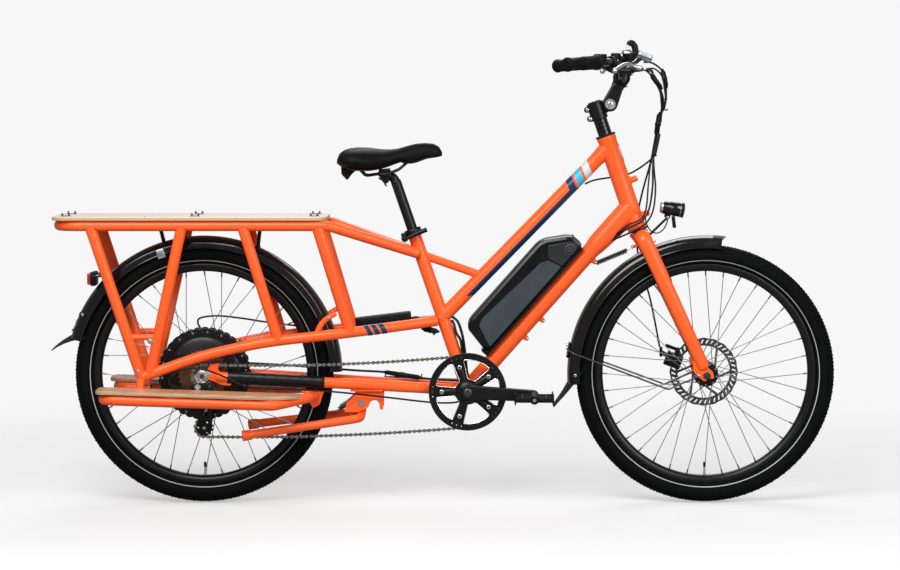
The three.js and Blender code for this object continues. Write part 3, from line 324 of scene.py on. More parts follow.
def rounded_outline(points, radius, steps=4):
    """A flat outline (pairs of numbers) with its corners rounded."""
    result = []
    count = len(points)
    for i in range(count):
        before, here, after = (Vector(points[(i + k) % count]) for k in (-1, 0, 1))
        into, out = before - here, after - here
        reach = min(radius, into.length * 0.45, out.length * 0.45)
        start, end = here + into.normalized() * reach, here + out.normalized() * reach
        for k in range(steps + 1):
            t = k / steps
            result.append(tuple(start * (1 - t) ** 2 + here * (2 * t * (1 - t)) + end * t ** 2))
    return result


def around(count, start=0.0):
    """Angles at equal steps round a full turn. start is a part of one step."""
    return [2 * math.pi * (k + start) / count for k in range(count)]


def on_circle(radius, angle, centre=(0, 0)):
    return (centre[0] + radius * math.cos(angle), centre[1] + radius * math.sin(angle))


def circle(radius, centre=(0, 0), steps=24):
    return [on_circle(radius, angle, centre) for angle in around(steps)]


def ring_of_holes(count, reach, radius, steps=12, start=0.0, centre=(0, 0)):
    return [circle(radius, on_circle(reach, angle, centre), steps) for angle in around(count, start)]


def smooth(places, per=8):
    """A smooth line through places given as (x, y, z)."""
    return curve_through([at(*place) for place in places], per)


def mirrored(point, side):
    return Vector((point.x, point.y * side, point.z))


def outwards(angle):
    """A direction in the bicycle's side view, turned up from ahead."""
    return X * math.cos(angle) + Z * math.sin(angle)


def polar(centre, angle, radius, side=0.0):
    return centre + outwards(angle) * mm(radius) + Y * mm(side)


class Piece:
    """One visible piece: solids gathered in one mesh, with one material for each."""

    def __init__(self, name, body, *materials, slot, nodes=(), smooth=38):
        self.name, self.body, self.slot, self.nodes = name, body, slot, nodes
        self.materials = list(materials)
        self.smooth = smooth
        self.points, self.faces, self.face_materials = [], [], []
        self.current = 0
        self.bend = None

    def use(self, material):
        if material not in self.materials:
            self.materials.append(material)
        self.current = self.materials.index(material)
        return self

    def add(self, points, faces):
        base = len(self.points)
        self.points.extend(points)
        self.faces.extend(tuple(base + i for i in face) for face in faces)
        self.face_materials.extend([self.current] * len(faces))
        return self

    def stop_at_seat_tube(self, away):
        """Slides the points inside the seat tube along away, to the wall of its bore, and opens the ends."""
        away = away.normalized()
        across = away - HEAD_AXIS * away.dot(HEAD_AXIS)
        for i, point in enumerate(self.points):
            offset = point - SEAT_TOP
            radial = offset - HEAD_AXIS * offset.dot(HEAD_AXIS)
            inside = mm(SEAT_BORE) ** 2 - radial.length_squared
            if inside > 0:
                along = radial.dot(across)
                square = across.length_squared
                step = (-along + math.sqrt(along ** 2 + square * inside)) / square
                self.points[i] = point + away * step
        kept = [k for k, face in enumerate(self.faces) if len(face) < 5]
        self.faces = [self.faces[k] for k in kept]
        self.face_materials = [self.face_materials[k] for k in kept]
        return self

    def rings(self, rings, closed=False):
        """A skin over rings of points, with flat ends unless it is closed on itself."""
        sides = len(rings[0])
        faces = []
        count = len(rings)
        for i in range(count if closed else count - 1):
            a, b = i * sides, ((i + 1) % count) * sides
            for k in range(sides):
                n = (k + 1) % sides
                faces.append((a + k, a + n, b + n, b + k))
        if not closed:
            faces.append(tuple(range(sides - 1, -1, -1)))
            faces.append(tuple((count - 1) * sides + k for k in range(sides)))
        return self.add([p for ring in rings for p in ring], faces)

    def tube(self, line, radius, sides=20, flat=1.0, across=None, ends=0.0):
        """A round or oval tube along a line. radius is in mm, or one for each point. ends rounds them off."""
        radii = list(radius) if hasattr(radius, "__len__") else [radius] * len(line)
        line = [p.copy() for p in line]
        first = (line[1] - line[0]).normalized()
        last = (line[-1] - line[-2]).normalized()
        if ends:
            start, finish, r0, r1 = line[0], line[-1], radii[0], radii[-1]
            bow = [(0.0, 0.55), (0.35, 0.86), (1.0, 1.0)]
            head = [(start + first * mm(ends * u), r0 - ends * (1 - s)) for u, s in bow]
            tail = [(finish - last * mm(ends * u), r1 - ends * (1 - s)) for u, s in reversed(bow)]
            line = [p for p, _ in head] + line[1:-1] + [p for p, _ in tail]
            radii = [r for _, r in head] + radii[1:-1] + [r for _, r in tail]
        if across is None:
            across = frame_across(first)[0]
        rings = []
        previous = first
        for i, point in enumerate(line):
            if i == 0:
                heading = first
            elif i == len(line) - 1:
                heading = last
            else:
                heading = ((line[i + 1] - point).normalized()
                           + (point - line[i - 1]).normalized()).normalized()
            across = previous.rotation_difference(heading) @ across
            across = (across - heading * across.dot(heading)).normalized()
            up = heading.cross(across)
            previous = heading
            wide, tall = mm(radii[i]) * flat, mm(radii[i])
            rings.append([
                point + across * (wide * math.cos(angle))
                + up * (tall * math.sin(angle)) for angle in around(sides)
            ])
        return self.rings(rings)

    def rod(self, start, end, radius, sides=20, ends=0.6, end_radius=None):
        radii = [radius, radius if end_radius is None else end_radius]
        return self.tube([start, end], radii, sides, ends=ends)

    def lathe(self, centre, axis, profile, steps=48, closed=False):
        """A profile of (radius, distance along the axis) in mm, turned about the axis."""
        axis = axis.normalized()
        u, v = frame_across(axis)
        rings = []
        for angle in around(steps):
            out = u * math.cos(angle) + v * math.sin(angle)
            rings.append([centre + out * mm(r) + axis * mm(t) for r, t in profile])
        if closed:
            return self.rings(rings, closed=True)
        count = len(profile)
        faces = []
        for k in range(steps):
            a, b = k * count, ((k + 1) % steps) * count
            for i in range(count - 1):
                faces.append((a + i, a + i + 1, b + i + 1, b + i))
        base = [p for ring in rings for p in ring]
        faces.append(tuple(k * count for k in range(steps)))
        faces.append(tuple(k * count + count - 1 for k in range(steps - 1, -1, -1)))
        return self.add(base, faces)

    def slab(self, outlines, low, high, bevel, matrix):
        """Flat outlines (the first is the edge, the others are holes) made solid from low to high, in mm."""
        data = bpy.data.curves.new("outline", "CURVE")
        data.dimensions = "2D"
        data.fill_mode = "BOTH"
        data.extrude = mm((high - low) / 2 - bevel)
        data.bevel_depth = mm(bevel)
        data.bevel_resolution = 1
        data.offset = -mm(bevel)
        for outline in outlines:
            spline = data.splines.new("POLY")
            spline.points.add(len(outline) - 1)
            for target, (u, v) in zip(spline.points, outline):
                target.co = (mm(u), mm(v), 0, 1)
            spline.use_cyclic_u = True
        holder = bpy.data.objects.new("outline", data)
        made = bpy.data.meshes.new_from_object(holder)
        lift = matrix @ Matrix.Translation((0, 0, mm((low + high) / 2)))
        points = [lift @ v.co for v in made.vertices]
        faces = [tuple(f.vertices) for f in made.polygons]
        if lift.determinant() < 0:
            faces = [tuple(reversed(f)) for f in faces]
        self.add(points, faces)
        bpy.data.objects.remove(holder)
        bpy.data.curves.remove(data)
        bpy.data.meshes.remove(made)
        return self

    def plate(self, outlines, y_low, y_high, bevel=0.8, centre=None):
        """A slab whose outlines are (x, z) places, or distances from a centre, between two sides."""
        origin = at(0, 0, 0) if centre is None else Vector((centre.x, 0, centre.z))
        across = Matrix(((1, 0, 0, origin.x), (0, 0, 1, 0), (0, 1, 0, origin.z), (0, 0, 0, 1)))
        return self.slab(outlines, y_low, y_high, bevel, across)

    def block(self, centre, size, bevel=1.5, turn=None):
        """A box with rounded edges. turn is a matrix that tilts it about its centre."""
        sx, sy, sz = size
        corner = min(bevel * 2.2, sx * 0.3, sy * 0.3)
        outline = rounded_outline(
            [(-sx / 2, -sy / 2), (sx / 2, -sy / 2), (sx / 2, sy / 2), (-sx / 2, sy / 2)], corner, 4
        )
        matrix = Matrix.Translation(centre) @ (turn.to_4x4() if turn is not None else Matrix())
        return self.slab([outline], -sz / 2, sz / 2, bevel, matrix)

    def bolt(self, place, axis, radius=4.0, height=3.0, washer=0.0, hexagon=False):
        """A bolt head standing out along axis: a domed cap with a hexagonal socket, or a hexagonal head."""
        axis = axis.normalized()
        if washer:
            self.lathe(place, axis,
                       [(washer, -0.3), (washer, 0.7), (washer - 0.4, 1.1), (radius * 0.5, 1.1)], 20)
        if hexagon:
            profile = [(radius, -0.5), (radius, height * 0.8), (radius * 0.86, height),
                       (radius * 0.4, height)]
            return self.lathe(place, axis, profile, 6)
        socket = radius * 0.48
        profile = [(radius, -0.6), (radius, height * 0.55), (radius * 0.9, height * 0.85),
                   (radius * 0.72, height),
                   (socket, height), (socket, height * 0.35)]
        return self.lathe(place, axis, profile, 18)

    def weld(self, start, end, radius, other_start, other_end, other_radius, bead=2.2, sides=40):
        """A rippled weld bead where a tube that comes from start meets another tube's side."""
        heading = (end - start).normalized()
        u, v = frame_across(heading)
        other = (other_end - other_start).normalized()
        loop = []
        for angle in around(sides * 2):
            root = start + (u * math.cos(angle) + v * math.sin(angle)) * mm(radius)
            gap = root - other_start
            gap_across = gap - other * gap.dot(other)
            step_across = heading - other * heading.dot(other)
            a = step_across.length_squared
            b = 2 * gap_across.dot(step_across)
            c = gap_across.length_squared - mm(other_radius) ** 2
            root_part = b * b - 4 * a * c
            if root_part < 0:
                return self
            loop.append(root + heading * ((-b - math.sqrt(root_part)) / (2 * a)))
        rings = []
        count = len(loop)
        for i, point in enumerate(loop):
            along = (loop[(i + 1) % count] - loop[i - 1]).normalized()
            size = mm(bead) * (1.0 if i % 2 else 0.8)
            p, q = frame_across(along)
            rings.append([point + p * (size * math.cos(t)) + q * (size * math.sin(t)) for t in around(6)])
        return self.rings(rings, closed=True)

    def coil(self, start, end, radius, wire, turns, sides=8, per=14):
        """A coil spring between two places."""
        axis = (end - start).normalized()
        u, v = frame_across(axis)
        steps = int(turns * per)
        line = []
        for k in range(steps + 1):
            angle = 2 * math.pi * k / per
            out = u * math.cos(angle) + v * math.sin(angle)
            line.append(start.lerp(end, k / steps) + out * mm(radius))
        return self.tube(line, wire, sides)

    def make(self):
        mesh = bpy.data.meshes.new(self.name)
        mesh.from_pydata([tuple(p) for p in self.points], [], self.faces)
        for material in self.materials:
            mesh.materials.append(material)
        mesh.polygons.foreach_set("material_index", self.face_materials)
        mesh.polygons.foreach_set("use_smooth", [True] * len(self.faces))
        mesh.update()
        mesh.validate()
        tidy = bpy.data.objects.new(self.name, mesh)
        bpy.context.collection.objects.link(tidy)
        outward(mesh)
        mesh.set_sharp_from_angle(angle=math.radians(self.smooth))
        if self.bend:
            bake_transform(tidy)
        else:
            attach(tidy, self.body)
        if self.nodes:
            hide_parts(*self.nodes)
        return tidy


def outward(mesh):
    """Turns the faces of each closed shell outwards."""
    shell = bmesh.new()
    shell.from_mesh(mesh)
    bmesh.ops.recalc_face_normals(shell, faces=shell.faces)
    shell.to_mesh(mesh)
    shell.free()


def paint_section(start, heading, out, near, far, low, high):
    """The four corners of a thin layer on a tube: between two distances along it and two radii."""
    return [start + heading * mm(along) + out * mm(radius)
            for along, radius in ((near, low), (near, high), (far, high), (far, low))]


def band(piece, start, end, near, far, radius, slant=0.0, material=None, depth=0.35, steps=40):
    """A painted band round a tube between two distances from its start, cut at a slant, in mm."""
    heading = (end - start).normalized()
    up = (Z - heading * heading.z).normalized()
    side = heading.cross(up)
    rings = []
    for angle in around(steps):
        out = up * math.cos(angle) + side * math.sin(angle)
        lean = slant * math.cos(angle)
        rings.append(paint_section(start, heading, out, near + lean, far + lean, radius - 0.6,
                                   radius + depth))
    piece.use(material)
    return piece.rings(rings, closed=True)


def strip(piece, start, end, near, far, radius, angle_from, angle_to, material, taper=0.0, depth=0.3):
    """A painted strip along one side of a tube. Angles are in degrees from its upper side towards -Y."""
    heading = (end - start).normalized()
    up = (Z - heading * heading.z).normalized()
    side = heading.cross(up)
    if side.y > 0:
        side = -side
    rings = []
    steps = 14
    for k in range(steps + 1):
        u = k / steps
        angle = math.radians(angle_from + (angle_to - angle_from) * u)
        out = up * math.cos(angle) + side * math.sin(angle)
        shift = taper * u
        rings.append(paint_section(start, heading, out, near + shift, far + shift, radius - 0.4,
                                   radius + depth))
    piece.use(material)
    return piece.rings(rings)


def tilt(axis, degrees):
    return Matrix.Rotation(math.radians(degrees), 3, axis)


def facing(axis, ahead):
    """A matrix whose third column is axis and whose first points as near ahead as it can."""
    axis = axis.normalized()
    first = (ahead - axis * ahead.dot(axis)).normalized()
    second = axis.cross(first)
    return Matrix((first, second, axis)).transposed()


# ---------------------------------------------------------------- the frame's tubes
HEAD_TOP, HEAD_LOW = on_head(0), on_head(HEAD_LENGTH)
TOP_FRONT, TOP_REAR = at(1058, 0, 933), at(617, 0, 481)
DOWN_REAR, DOWN_LENGTH = on_down(8), 640
SEAT_TOP, SEAT_LOW = on_seat(0), on_seat(430)
CRANK_LEFT, CRANK_RIGHT = at(CRANK_X, SHELL_HALF, CRANK_Z), at(CRANK_X, -SHELL_HALF, CRANK_Z)


def head_tube():
    piece = Piece("head_tube_skin", "frame", ORANGE, slot="frame_paint", nodes=["head_tube"])
    profile = [(17.5, 0), (24.4, 0), (25, 1), (25, 11), (24, 14), (24, 246), (25, 249), (25, 259),
               (24.4, 260), (17.5, 260)]
    piece.lathe(HEAD_TOP, HEAD_AXIS * -1, profile, 56)
    for down in (131, 226):
        root, tip = on_head(down, 20), on_head(down, 42)
        boss = [(12.4, 0), (11.4, 3), (9, 6.5), (8, 10), (8, 20), (7.2, 21.6), (4.4, 22), (4, 15)]
        piece.lathe(root, tip - root, boss, 32)
        piece.use(ALLOY)
        piece.lathe(tip, tip - root, [(4.6, -3), (4.6, 0.8), (3.6, 1.8), (0.6, 2)], 22)
        piece.use(ORANGE)
    piece.use(BLACK)
    piece.lathe(on_head(0.2), HEAD_AXIS, [(26, -2.4), (26.6, -1.6), (26.6, 0.4), (25, 2.4), (20, 3)], 48)
    piece.lathe(on_head(259.8), HEAD_AXIS * -1,
                [(26, -2.4), (26.6, -1.6), (26.6, 1.2), (25.4, 2.4), (20, 2.4)], 48)
    piece.make()


head_tube()


def top_tube():
    piece = Piece("top_tube_skin", "frame", ORANGE, slot="frame_paint", nodes=["top_tube"])
    flared = [(0, 22), (18, 22), (34, 20.6), (52, 18.9), (62, TOP_RADIUS), (632, TOP_RADIUS)]
    fall = (TOP_REAR - TOP_FRONT).normalized()
    piece.tube([TOP_FRONT + fall * mm(down) for down, _ in flared], [radius for _, radius in flared], 44)
    piece.stop_at_seat_tube(TOP_FRONT - TOP_REAR)
    piece.weld(TOP_REAR, TOP_FRONT, 18.2, HEAD_TOP, HEAD_LOW, HEAD_RADIUS)
    piece.weld(TOP_FRONT, TOP_REAR, 18.2, SEAT_TOP, SEAT_LOW, SEAT_RADIUS)
    strip(piece, TOP_FRONT, TOP_REAR, 150, 542, TOP_RADIUS, 104, 176, NAVY, taper=-20)
    for near, far, colour in ((80, 101, SILVER_PAINT), (108, 129, CYAN), (136, 157, NAVY)):
        band(piece, TOP_FRONT, TOP_REAR, near, far, TOP_RADIUS, -8, colour)
    piece.make()


top_tube()


def down_tube():
    piece = Piece("down_tube_skin", "frame", ORANGE, slot="frame_paint", nodes=["down_tube"])
    stations = [(8, 21.5), (470, 21.5), (488, 22.2), (500, 24.6), (508, 25.8), (516, 26), (DOWN_LENGTH, 26)]
    piece.tube([on_down(along) for along, _ in stations], [radius for _, radius in stations], 48)
    piece.weld(on_down(500), on_down(DOWN_LENGTH), 25.8, HEAD_TOP, HEAD_LOW, HEAD_RADIUS, 2.6)
    piece.weld(on_down(200), DOWN_REAR, 21.2, CRANK_LEFT, CRANK_RIGHT, SHELL_RADIUS)
    under = [on_down(492, 0), on_down(520, -3), on_down(560, -6), on_down(DOWN_LENGTH, -10)]
    piece.tube(under, [21, 24, 25, 26], 40)
    for along in (469, 265, 202):
        top = on_down(along, -20)
        tip = on_down(along, -29)
        piece.use(ORANGE)
        piece.lathe(top, tip - top, [(8.5, 0), (7, 3.5), (6.2, 9)], 24)
        piece.use(STEEL)
        piece.bolt(tip, tip - top, 5.2, 4)
    piece.use(BLACK)
    piece.block(on_down(290, 24.5), (370, 64, 6.6), 1.2, facing(DOWN_ABOVE, DOWN_AXIS))
    piece.block(on_down(106, 31), (12, 56, 22), 3, facing(DOWN_ABOVE, DOWN_AXIS))
    piece.make()


down_tube()


def seat_tube():
    piece = Piece("seat_tube_skin", "frame", ORANGE, slot="frame_paint", nodes=["seat_tube"])
    piece.tube([on_seat(0.5), on_seat(412)], SEAT_RADIUS, 44)
    piece.tube([CRANK_RIGHT, CRANK_LEFT], SHELL_RADIUS, 48)
    brace_low, brace_top = on_seat(58), at(722, 0, 594)
    piece.tube([brace_low, brace_top], 11, 32)
    piece.weld(brace_top, brace_low, 10.8, SEAT_TOP, SEAT_LOW, SEAT_RADIUS, 1.8)
    piece.weld(brace_low, brace_top, 10.8, TOP_FRONT, TOP_REAR, TOP_RADIUS, 1.8)
    piece.weld(SEAT_TOP, SEAT_LOW, 16.8, CRANK_LEFT, CRANK_RIGHT, SHELL_RADIUS)
    piece.use(DARK_STEEL)
    for side in (-1, 1):
        face = at(CRANK_X, side * SHELL_HALF, CRANK_Z)
        piece.lathe(face, Y * side, [(20.5, -1), (20.5, 3), (19.5, 4.5), (11, 4.5), (10.6, 2)], 36)
        for angle in around(8):
            piece.block(polar(face, angle, 18.4, side * 3.6), (4, 2.4, 4), 0.5, tilt(Y, -math.degrees(angle)))
    piece.make()


seat_tube()


# ---------------------------------------------------------------- the cargo frame
RAIL_SIDE, RAIL_HIGH, RAIL_RADIUS = 105, 728, 13.5
LOWER_RAIL = (
    (-156, 86, 336), (-100, 86, 356), (0, 86, 390), (111, 86, 416), (200, 86, 431),
    (345, 84, 447), (480, 56, 462), (606, 14, 476),
)
STRUTS = (
    ((-282, 722), (-157, 338), 14), ((-49, 722), (-133, 346), 14),
    ((109, 722), (198, 430), 14), ((302, 722), (384, 450), 16),
)


def on_rail(x, side):
    return at(x, side * RAIL_SIDE, RAIL_HIGH)


def deck_rail():
    piece = Piece("deck_rail_skin", "frame", ORANGE, slot="frame_paint", nodes=["deck_rail"])
    half = [at(556, -14, 652), on_rail(327, -1), on_rail(-368.5, -1)]
    corners = half + [mirrored(p, -1) for p in reversed(half)]
    piece.tube(rounded_line(corners, 58, 12), RAIL_RADIUS, 32)
    piece.stop_at_seat_tube(X * -1)
    for side in (-1, 1):
        piece.weld(at(400, side * 76, 704), at(556, side * 14, 652), 13.3, SEAT_TOP, SEAT_LOW, SEAT_RADIUS,
                   1.8)
    for x in (-300, -60, 120, 290):
        for side in (-1, 1):
            piece.block(at(x, side * (RAIL_SIDE - 14), 738.5), (22, 16, 5), 1.2)
    for x in (-113, 147):
        piece.rod(on_rail(x, -1), on_rail(x, 1), 9.5, 28)
        for side in (-1, 1):
            piece.weld(at(x, 0, RAIL_HIGH), on_rail(x, side), 9.3, on_rail(-300, side), on_rail(300, side),
                       RAIL_RADIUS, 1.6)
    piece.make()


deck_rail()


def lower_rail_side(x):
    """How far out the lower rail is: straight along the rear, then drawn in towards the seat tube."""
    return 84 - (x - 345) * 28 / 135 if x > 345 else 86


def side_frame(name, side):
    piece = Piece("side_frame_%s_skin" % name, "frame", ORANGE, slot="frame_paint",
                  nodes=["side_frame_" + name])
    line = smooth([(x, side * y, z) for x, y, z in LOWER_RAIL])
    piece.tube(line, RAIL_RADIUS, 28, ends=2)
    for (top_x, top_z), (foot_x, foot_z), radius in STRUTS:
        high = at(top_x, side * RAIL_SIDE, top_z)
        low = at(foot_x, side * lower_rail_side(foot_x), foot_z)
        piece.tube([high, low], radius, 28, ends=1.5)
        piece.weld(low, high, radius - 0.3, on_rail(-400, side), on_rail(400, side), RAIL_RADIUS, 2)
    piece.rod(at(-192, side * 91, 440), at(-108, side * 91, 440), 8, 24)
    piece.tube([at(-156, side * 86, 342), at(-160, side * 94, 300.6)], 11, 24)
    hook = [(296, side * 86, 444), (303, side * 86, 464), (318, side * 87, 484), (346, side * 88, 502)]
    piece.tube(smooth(hook), 7, 20, ends=1)
    piece.use(STEEL)
    piece.bolt(at(-131, side * 99, 431), Y * side, 5.5, 4, 8)
    piece.bolt(at(-164, side * 99, 352), Y * side, 4.5, 3.5, 7)
    piece.bolt(at(328, side * 93, 490), Y * side, 4, 3.5)
    for near, far in ((422, 434), (440, 452), (458, 471)):
        a, b = (min(line, key=lambda p: abs(p.x * 1000 + MID_LENGTH - x)) for x in (near - 8, far + 8))
        reach = (b - a).normalized()
        first = (near - MID_LENGTH) / 1000 - a.x
        last = (far - MID_LENGTH) / 1000 - a.x
        band(piece, a, b, 1000 * first / reach.x, 1000 * last / reach.x, RAIL_RADIUS + 0.5, -6, NAVY)
    piece.make()


side_frame("right", -1)
side_frame("left", 1)


def chain_stays():
    piece = Piece("chain_stays_skin", "frame", ORANGE, slot="frame_paint", nodes=["chain_stays"])
    dropout = rounded_outline(
        [(10, 345), (18, 366), (44, 372), (40, 354), (54, 340), (74, 338), (74, 312), (48, 315), (28, 324),
         (12, 328)], 5)
    hanger = rounded_outline([(-23, 338), (-8, 351), (7, 357), (21, 344), (19, 331), (7, 319), (-12, 316)], 4)
    stand = rounded_outline(
        [(372, 264), (390, 282), (398, 301), (469, 303), (467, 248), (461, 245), (457, 253), (456.4, 263),
         (451, 270), (443.7, 271.4), (436, 269), (431, 262), (428, 253), (414, 246), (402, 240),
         (366, 240)], 1.5)
    for side in (-1, 1):
        front, rear = at(676, side * 27, 297), at(36, side * 68, 335)
        piece.use(ORANGE)
        piece.tube([front, rear], [14.6, 13.4], 32, flat=0.8, across=Y, ends=2)
        for outline, inner in ((dropout, 66), (stand, 34)):
            low, high = sorted((side * inner, side * (inner + 5)))
            piece.plate([outline], low, high, 0.8)
        piece.use(BLACK)
        start, end = front.lerp(rear, 0.565), front.lerp(rear, 0.955)
        if side < 0:
            guard = [start.lerp(end, k / 24) for k in range(25)]
            sizes = [16.2 + 0.35 * math.sin(k * 2.1) for k in range(25)]
            piece.tube(guard, sizes, 28, flat=0.82, across=Y, ends=1.5)
        piece.use(ALLOY)
        low, high = sorted((side * 71, side * 75))
        piece.plate([hanger, circle(15, (0, AXLE_HIGH), 32)], low, high, 0.8)
        piece.use(STEEL)
        nut = REAR_AXLE + Y * mm(side * 73)
        piece.lathe(nut, Y * side, [(14, -1.5), (14, 0.6), (13, 1.2), (9, 1.2)], 30)
        piece.lathe(nut, Y * side, [(11, 1), (11, 9.5), (10, 10.8), (7, 11)], 6)
        piece.use(DARK_STEEL)
        piece.lathe(nut, Y * side, [(6, 10), (6, 14.6), (5, 15.4)], 20)
        piece.use(STEEL)
        piece.bolt(at(410, side * 40, 263), Y * side, 6.4, 4.6, 9, hexagon=True)
    piece.use(ORANGE)
    piece.block(at(424, 0, 298), (84, 96, 7), 1.5)
    piece.tube([at(410, -44, 263), at(410, 44, 263)], 5, 16)
    piece.make()


chain_stays()


def screws(piece, places, radius=5.5):
    """Countersunk screw heads, level with a board's top, each with a dark steel cross laid on it as painted
    shade for a cross recess.
    """
    for place in places:
        piece.use(STEEL)
        piece.lathe(place, Z, [(radius, -1.4), (radius, 0.15), (radius * 0.85, 0.6), (radius * 0.3, 0.7)], 24)
        # Painted shade: a thin dark cross on the flat head stands in for the shadowed hollow of the cross
        # recess.
        piece.use(DARK_STEEL)
        for turn in (25, 115):
            piece.block(place + Z * mm(0.65), (radius * 1.1, radius * 0.3, 0.5), 0.1, tilt(Z, turn))


def deck():
    piece = Piece("deck_board_ply", "frame", DECK_PLY, slot="deck_ply", nodes=["deck_board"])
    outline = rounded_outline([(-384, -122), (325, -122), (325, 122), (-384, 122)], 44, 10)
    flat = Matrix.Translation(at(0, 0, 0))
    piece.slab([outline], 741.9, 750.9, 1.2, flat)
    screws(piece, [at(x, y, 750.9) for x in (-345, -140, 95, 290) for y in (-105, 105)])
    piece.use(DARK_STEEL)
    for x in (-351, -17, 290):
        for y in (-60, 60):
            piece.block(at(x, y, 751.5), (26, 12, 2), 0.5)
            for offset in (-7, 7):
                piece.rod(at(x + offset, y, 751), at(x + offset * 1.4, y, 758.5), 2.4, 12)
    piece.make()


deck()


def running_board(name, side):
    slope, board_high, board_thick, tube_radius = 0.034, 305, 9, 13.5
    lift = Matrix.Translation(at(0, 0, board_high)) @ Matrix.Rotation(slope, 4, "Y")
    corners = [(-262, 112), (270, 112), (270, 140), (238, 186), (165, 215), (-262, 215)]
    outline = rounded_outline([(x, side * y) for x, y in (corners if side > 0 else reversed(corners))], 26,
                              10)
    board = Piece("running_board_%s_ply" % name, "frame", BOARD_PLY, slot="running_board_ply",
                  nodes=["running_board_" + name])
    board.slab([outline], -board_thick, 0, 1.2, lift)
    board.use(STEEL)
    for x in (-246, -62, 120, 250):
        for y in (132, 200 if x < 200 else 160):
            place = lift @ Vector((mm(x), mm(side * y), mm(0.2)))
            screws(board, [place], 4.6)
    board.make()

    def under(x):
        return board_high - x * slope - board_thick - tube_radius - 1.1

    tube = Piece("running_board_tube_" + name, "frame", ORANGE, slot="frame_paint",
                 nodes=["running_board_frame_" + name])
    corners = [
        at(-150, side * 100, under(-150)), at(-238, side * 108, under(-238)),
        at(-246, side * 200, under(-246)),
        at(190, side * 200, under(190)), at(276, side * 126, 287), at(290, side * 52, 284),
    ]
    tube.tube(rounded_line(corners, 34, 10), tube_radius, 28, ends=2)
    for x in (-62, 120):
        tube.block(at(x, side * 196, under(x) + 11), (40, 24, 5), 1.2, tilt(Y, math.degrees(slope)))
    plate = rounded_outline([(252, 299), (316, 299), (309, 284), (303, 262), (285, 252), (268, 284)], 5)
    tube.plate([plate], side * 56 - 2.5, side * 56 + 2.5, 0.8)
    tube.use(STEEL)
    for x, z in ((271, 291), (296, 290)):
        tube.bolt(at(x, side * 58.5, z), Y * side, 4.2, 3)
    tube.use(BLACK)
    tube.lathe(at(-151, side * 100, under(-150)), X, [(13.2, -2), (13.2, 1.2), (11, 2.4)], 24)
    tube.make()


running_board("right", -1)
running_board("left", 1)


# ---------------------------------------------------------------- fenders, lamp and controller at the rear
FENDER_RADIUS = 360


def fender_shell(piece, centre, radius, start, end, half_width=36.0, skirt=30.0, wall=2.4, steps=72,
                 skew=0.0):
    """A fender: a rounded inverted U swept round a wheel between two angles, with rolled edges."""
    arch = [math.pi * k / 14 for k in range(15)]
    outer = [(half_width * math.cos(angle), -skirt + skirt * math.sin(angle) ** 0.5) for angle in arch]
    inner = [(y * (half_width - wall) / half_width, max(-skirt, r - wall)) for y, r in reversed(outer)]
    turns = [start + (end - start) * k / steps for k in range(steps + 1)]
    piece.rings([
        [polar(centre, math.radians(turn - skew * r / skirt), radius + r, y) for y, r in outer + inner]
        for turn in turns
    ])
    for side in (-1, 1):
        edge = [polar(centre, math.radians(turn + skew), radius - skirt, side * (half_width - 1.2))
                for turn in turns]
        piece.tube(edge, 1.9, 8, ends=0.8)
    return piece


def flap_sheet(piece, line, half_width, thickness=2.4, flare=0.0, bow=8.0):
    """A mud flap: a bent sheet along a line of (x, z), a little wider at its free end, with round corners."""
    rings = []
    count = len(line)
    for i, (x, z) in enumerate(line):
        ahead = Vector(line[min(i + 1, count - 1)]) - Vector(line[max(i - 1, 0)])
        normal = Vector((-ahead[1], ahead[0])).normalized()
        u = i / (count - 1)
        width = half_width + flare * u
        if u > 0.86:
            width *= math.cos((u - 0.86) / 0.14 * 0.55)
        cup = bow * (1 - u) ** 1.3 + 1.5
        bulges = ((-1, 1), (-0.6, 0.45), (0, 0), (0.6, 0.45), (1, 1))
        ring = [(x + normal[0] * cup * bulge, y * width, z + normal[1] * cup * bulge) for y, bulge in bulges]
        under = [(a + normal[0] * thickness, b, c + normal[1] * thickness) for a, b, c in reversed(ring)]
        rings.append([at(*p) for p in ring + under])
    return piece.rings(rings)


def rear_fender():
    piece = Piece("rear_fender_shell", "frame", GLOSS, slot="fender_black", nodes=["rear_fender"])
    fender_shell(piece, REAR_AXLE, FENDER_RADIUS, 1, 165)
    piece.use(PLASTIC)
    flap_sheet(piece, [(-313, 452), (-332, 446), (-350, 437), (-368, 426), (-384, 414), (-397, 402)], 34,
               bow=20)
    piece.use(BLACK)
    for x0, z0, x1, z1 in ((-103, 676, -112, 714), (140, 662, 146, 714)):
        piece.rod(at(x0, 0, z0), at(x1, 0, z1), 5, 18)
        piece.bolt(at(x0, 0, z0 + 8), X * -1 + Z * 0.4, 5, 3, 8)
    piece.use(STEEL)
    for degrees, side in ((161, -12), (158, 12)):
        angle = math.radians(degrees)
        piece.bolt(polar(REAR_AXLE, angle, FENDER_RADIUS, side), outwards(angle), 5, 3, 7)
    for side in (-1, 1):
        piece.use(BLACK)
        piece.lathe(at(-313, side * 35, 494), Y * side, [(9, -1), (9, 2), (8, 2.8), (4, 2.8)], 28)
        piece.use(STEEL)
        piece.bolt(at(-313, side * 37.6, 494), Y * side, 4.4, 2.6)
        piece.block(at(-109, side * 34, 652), (21, 6, 24), 1.2, tilt(Y, -17))
    piece.make()


rear_fender()


def controller():
    piece = Piece("controller_case", "frame", PLASTIC, slot="black_plastic", nodes=["controller"])
    turn = tilt(Y, -7)
    piece.block(at(467, 0, 478), (146, 38, 28), 3.5, turn)
    for k in range(9):
        piece.block(at(407 + 15 * k, 0, 470.6 + 1.84 * k), (3, 41, 22), 0.8, turn)
    piece.use(CABLE)
    for y in (-10, 0, 10):
        lead = [(534, y, 480), (556, y, 484), (580, y * 0.4 - 20, 470), (600, -18, 440)]
        piece.tube(smooth(lead, 6), 2.6, 10)
    piece.make()


controller()


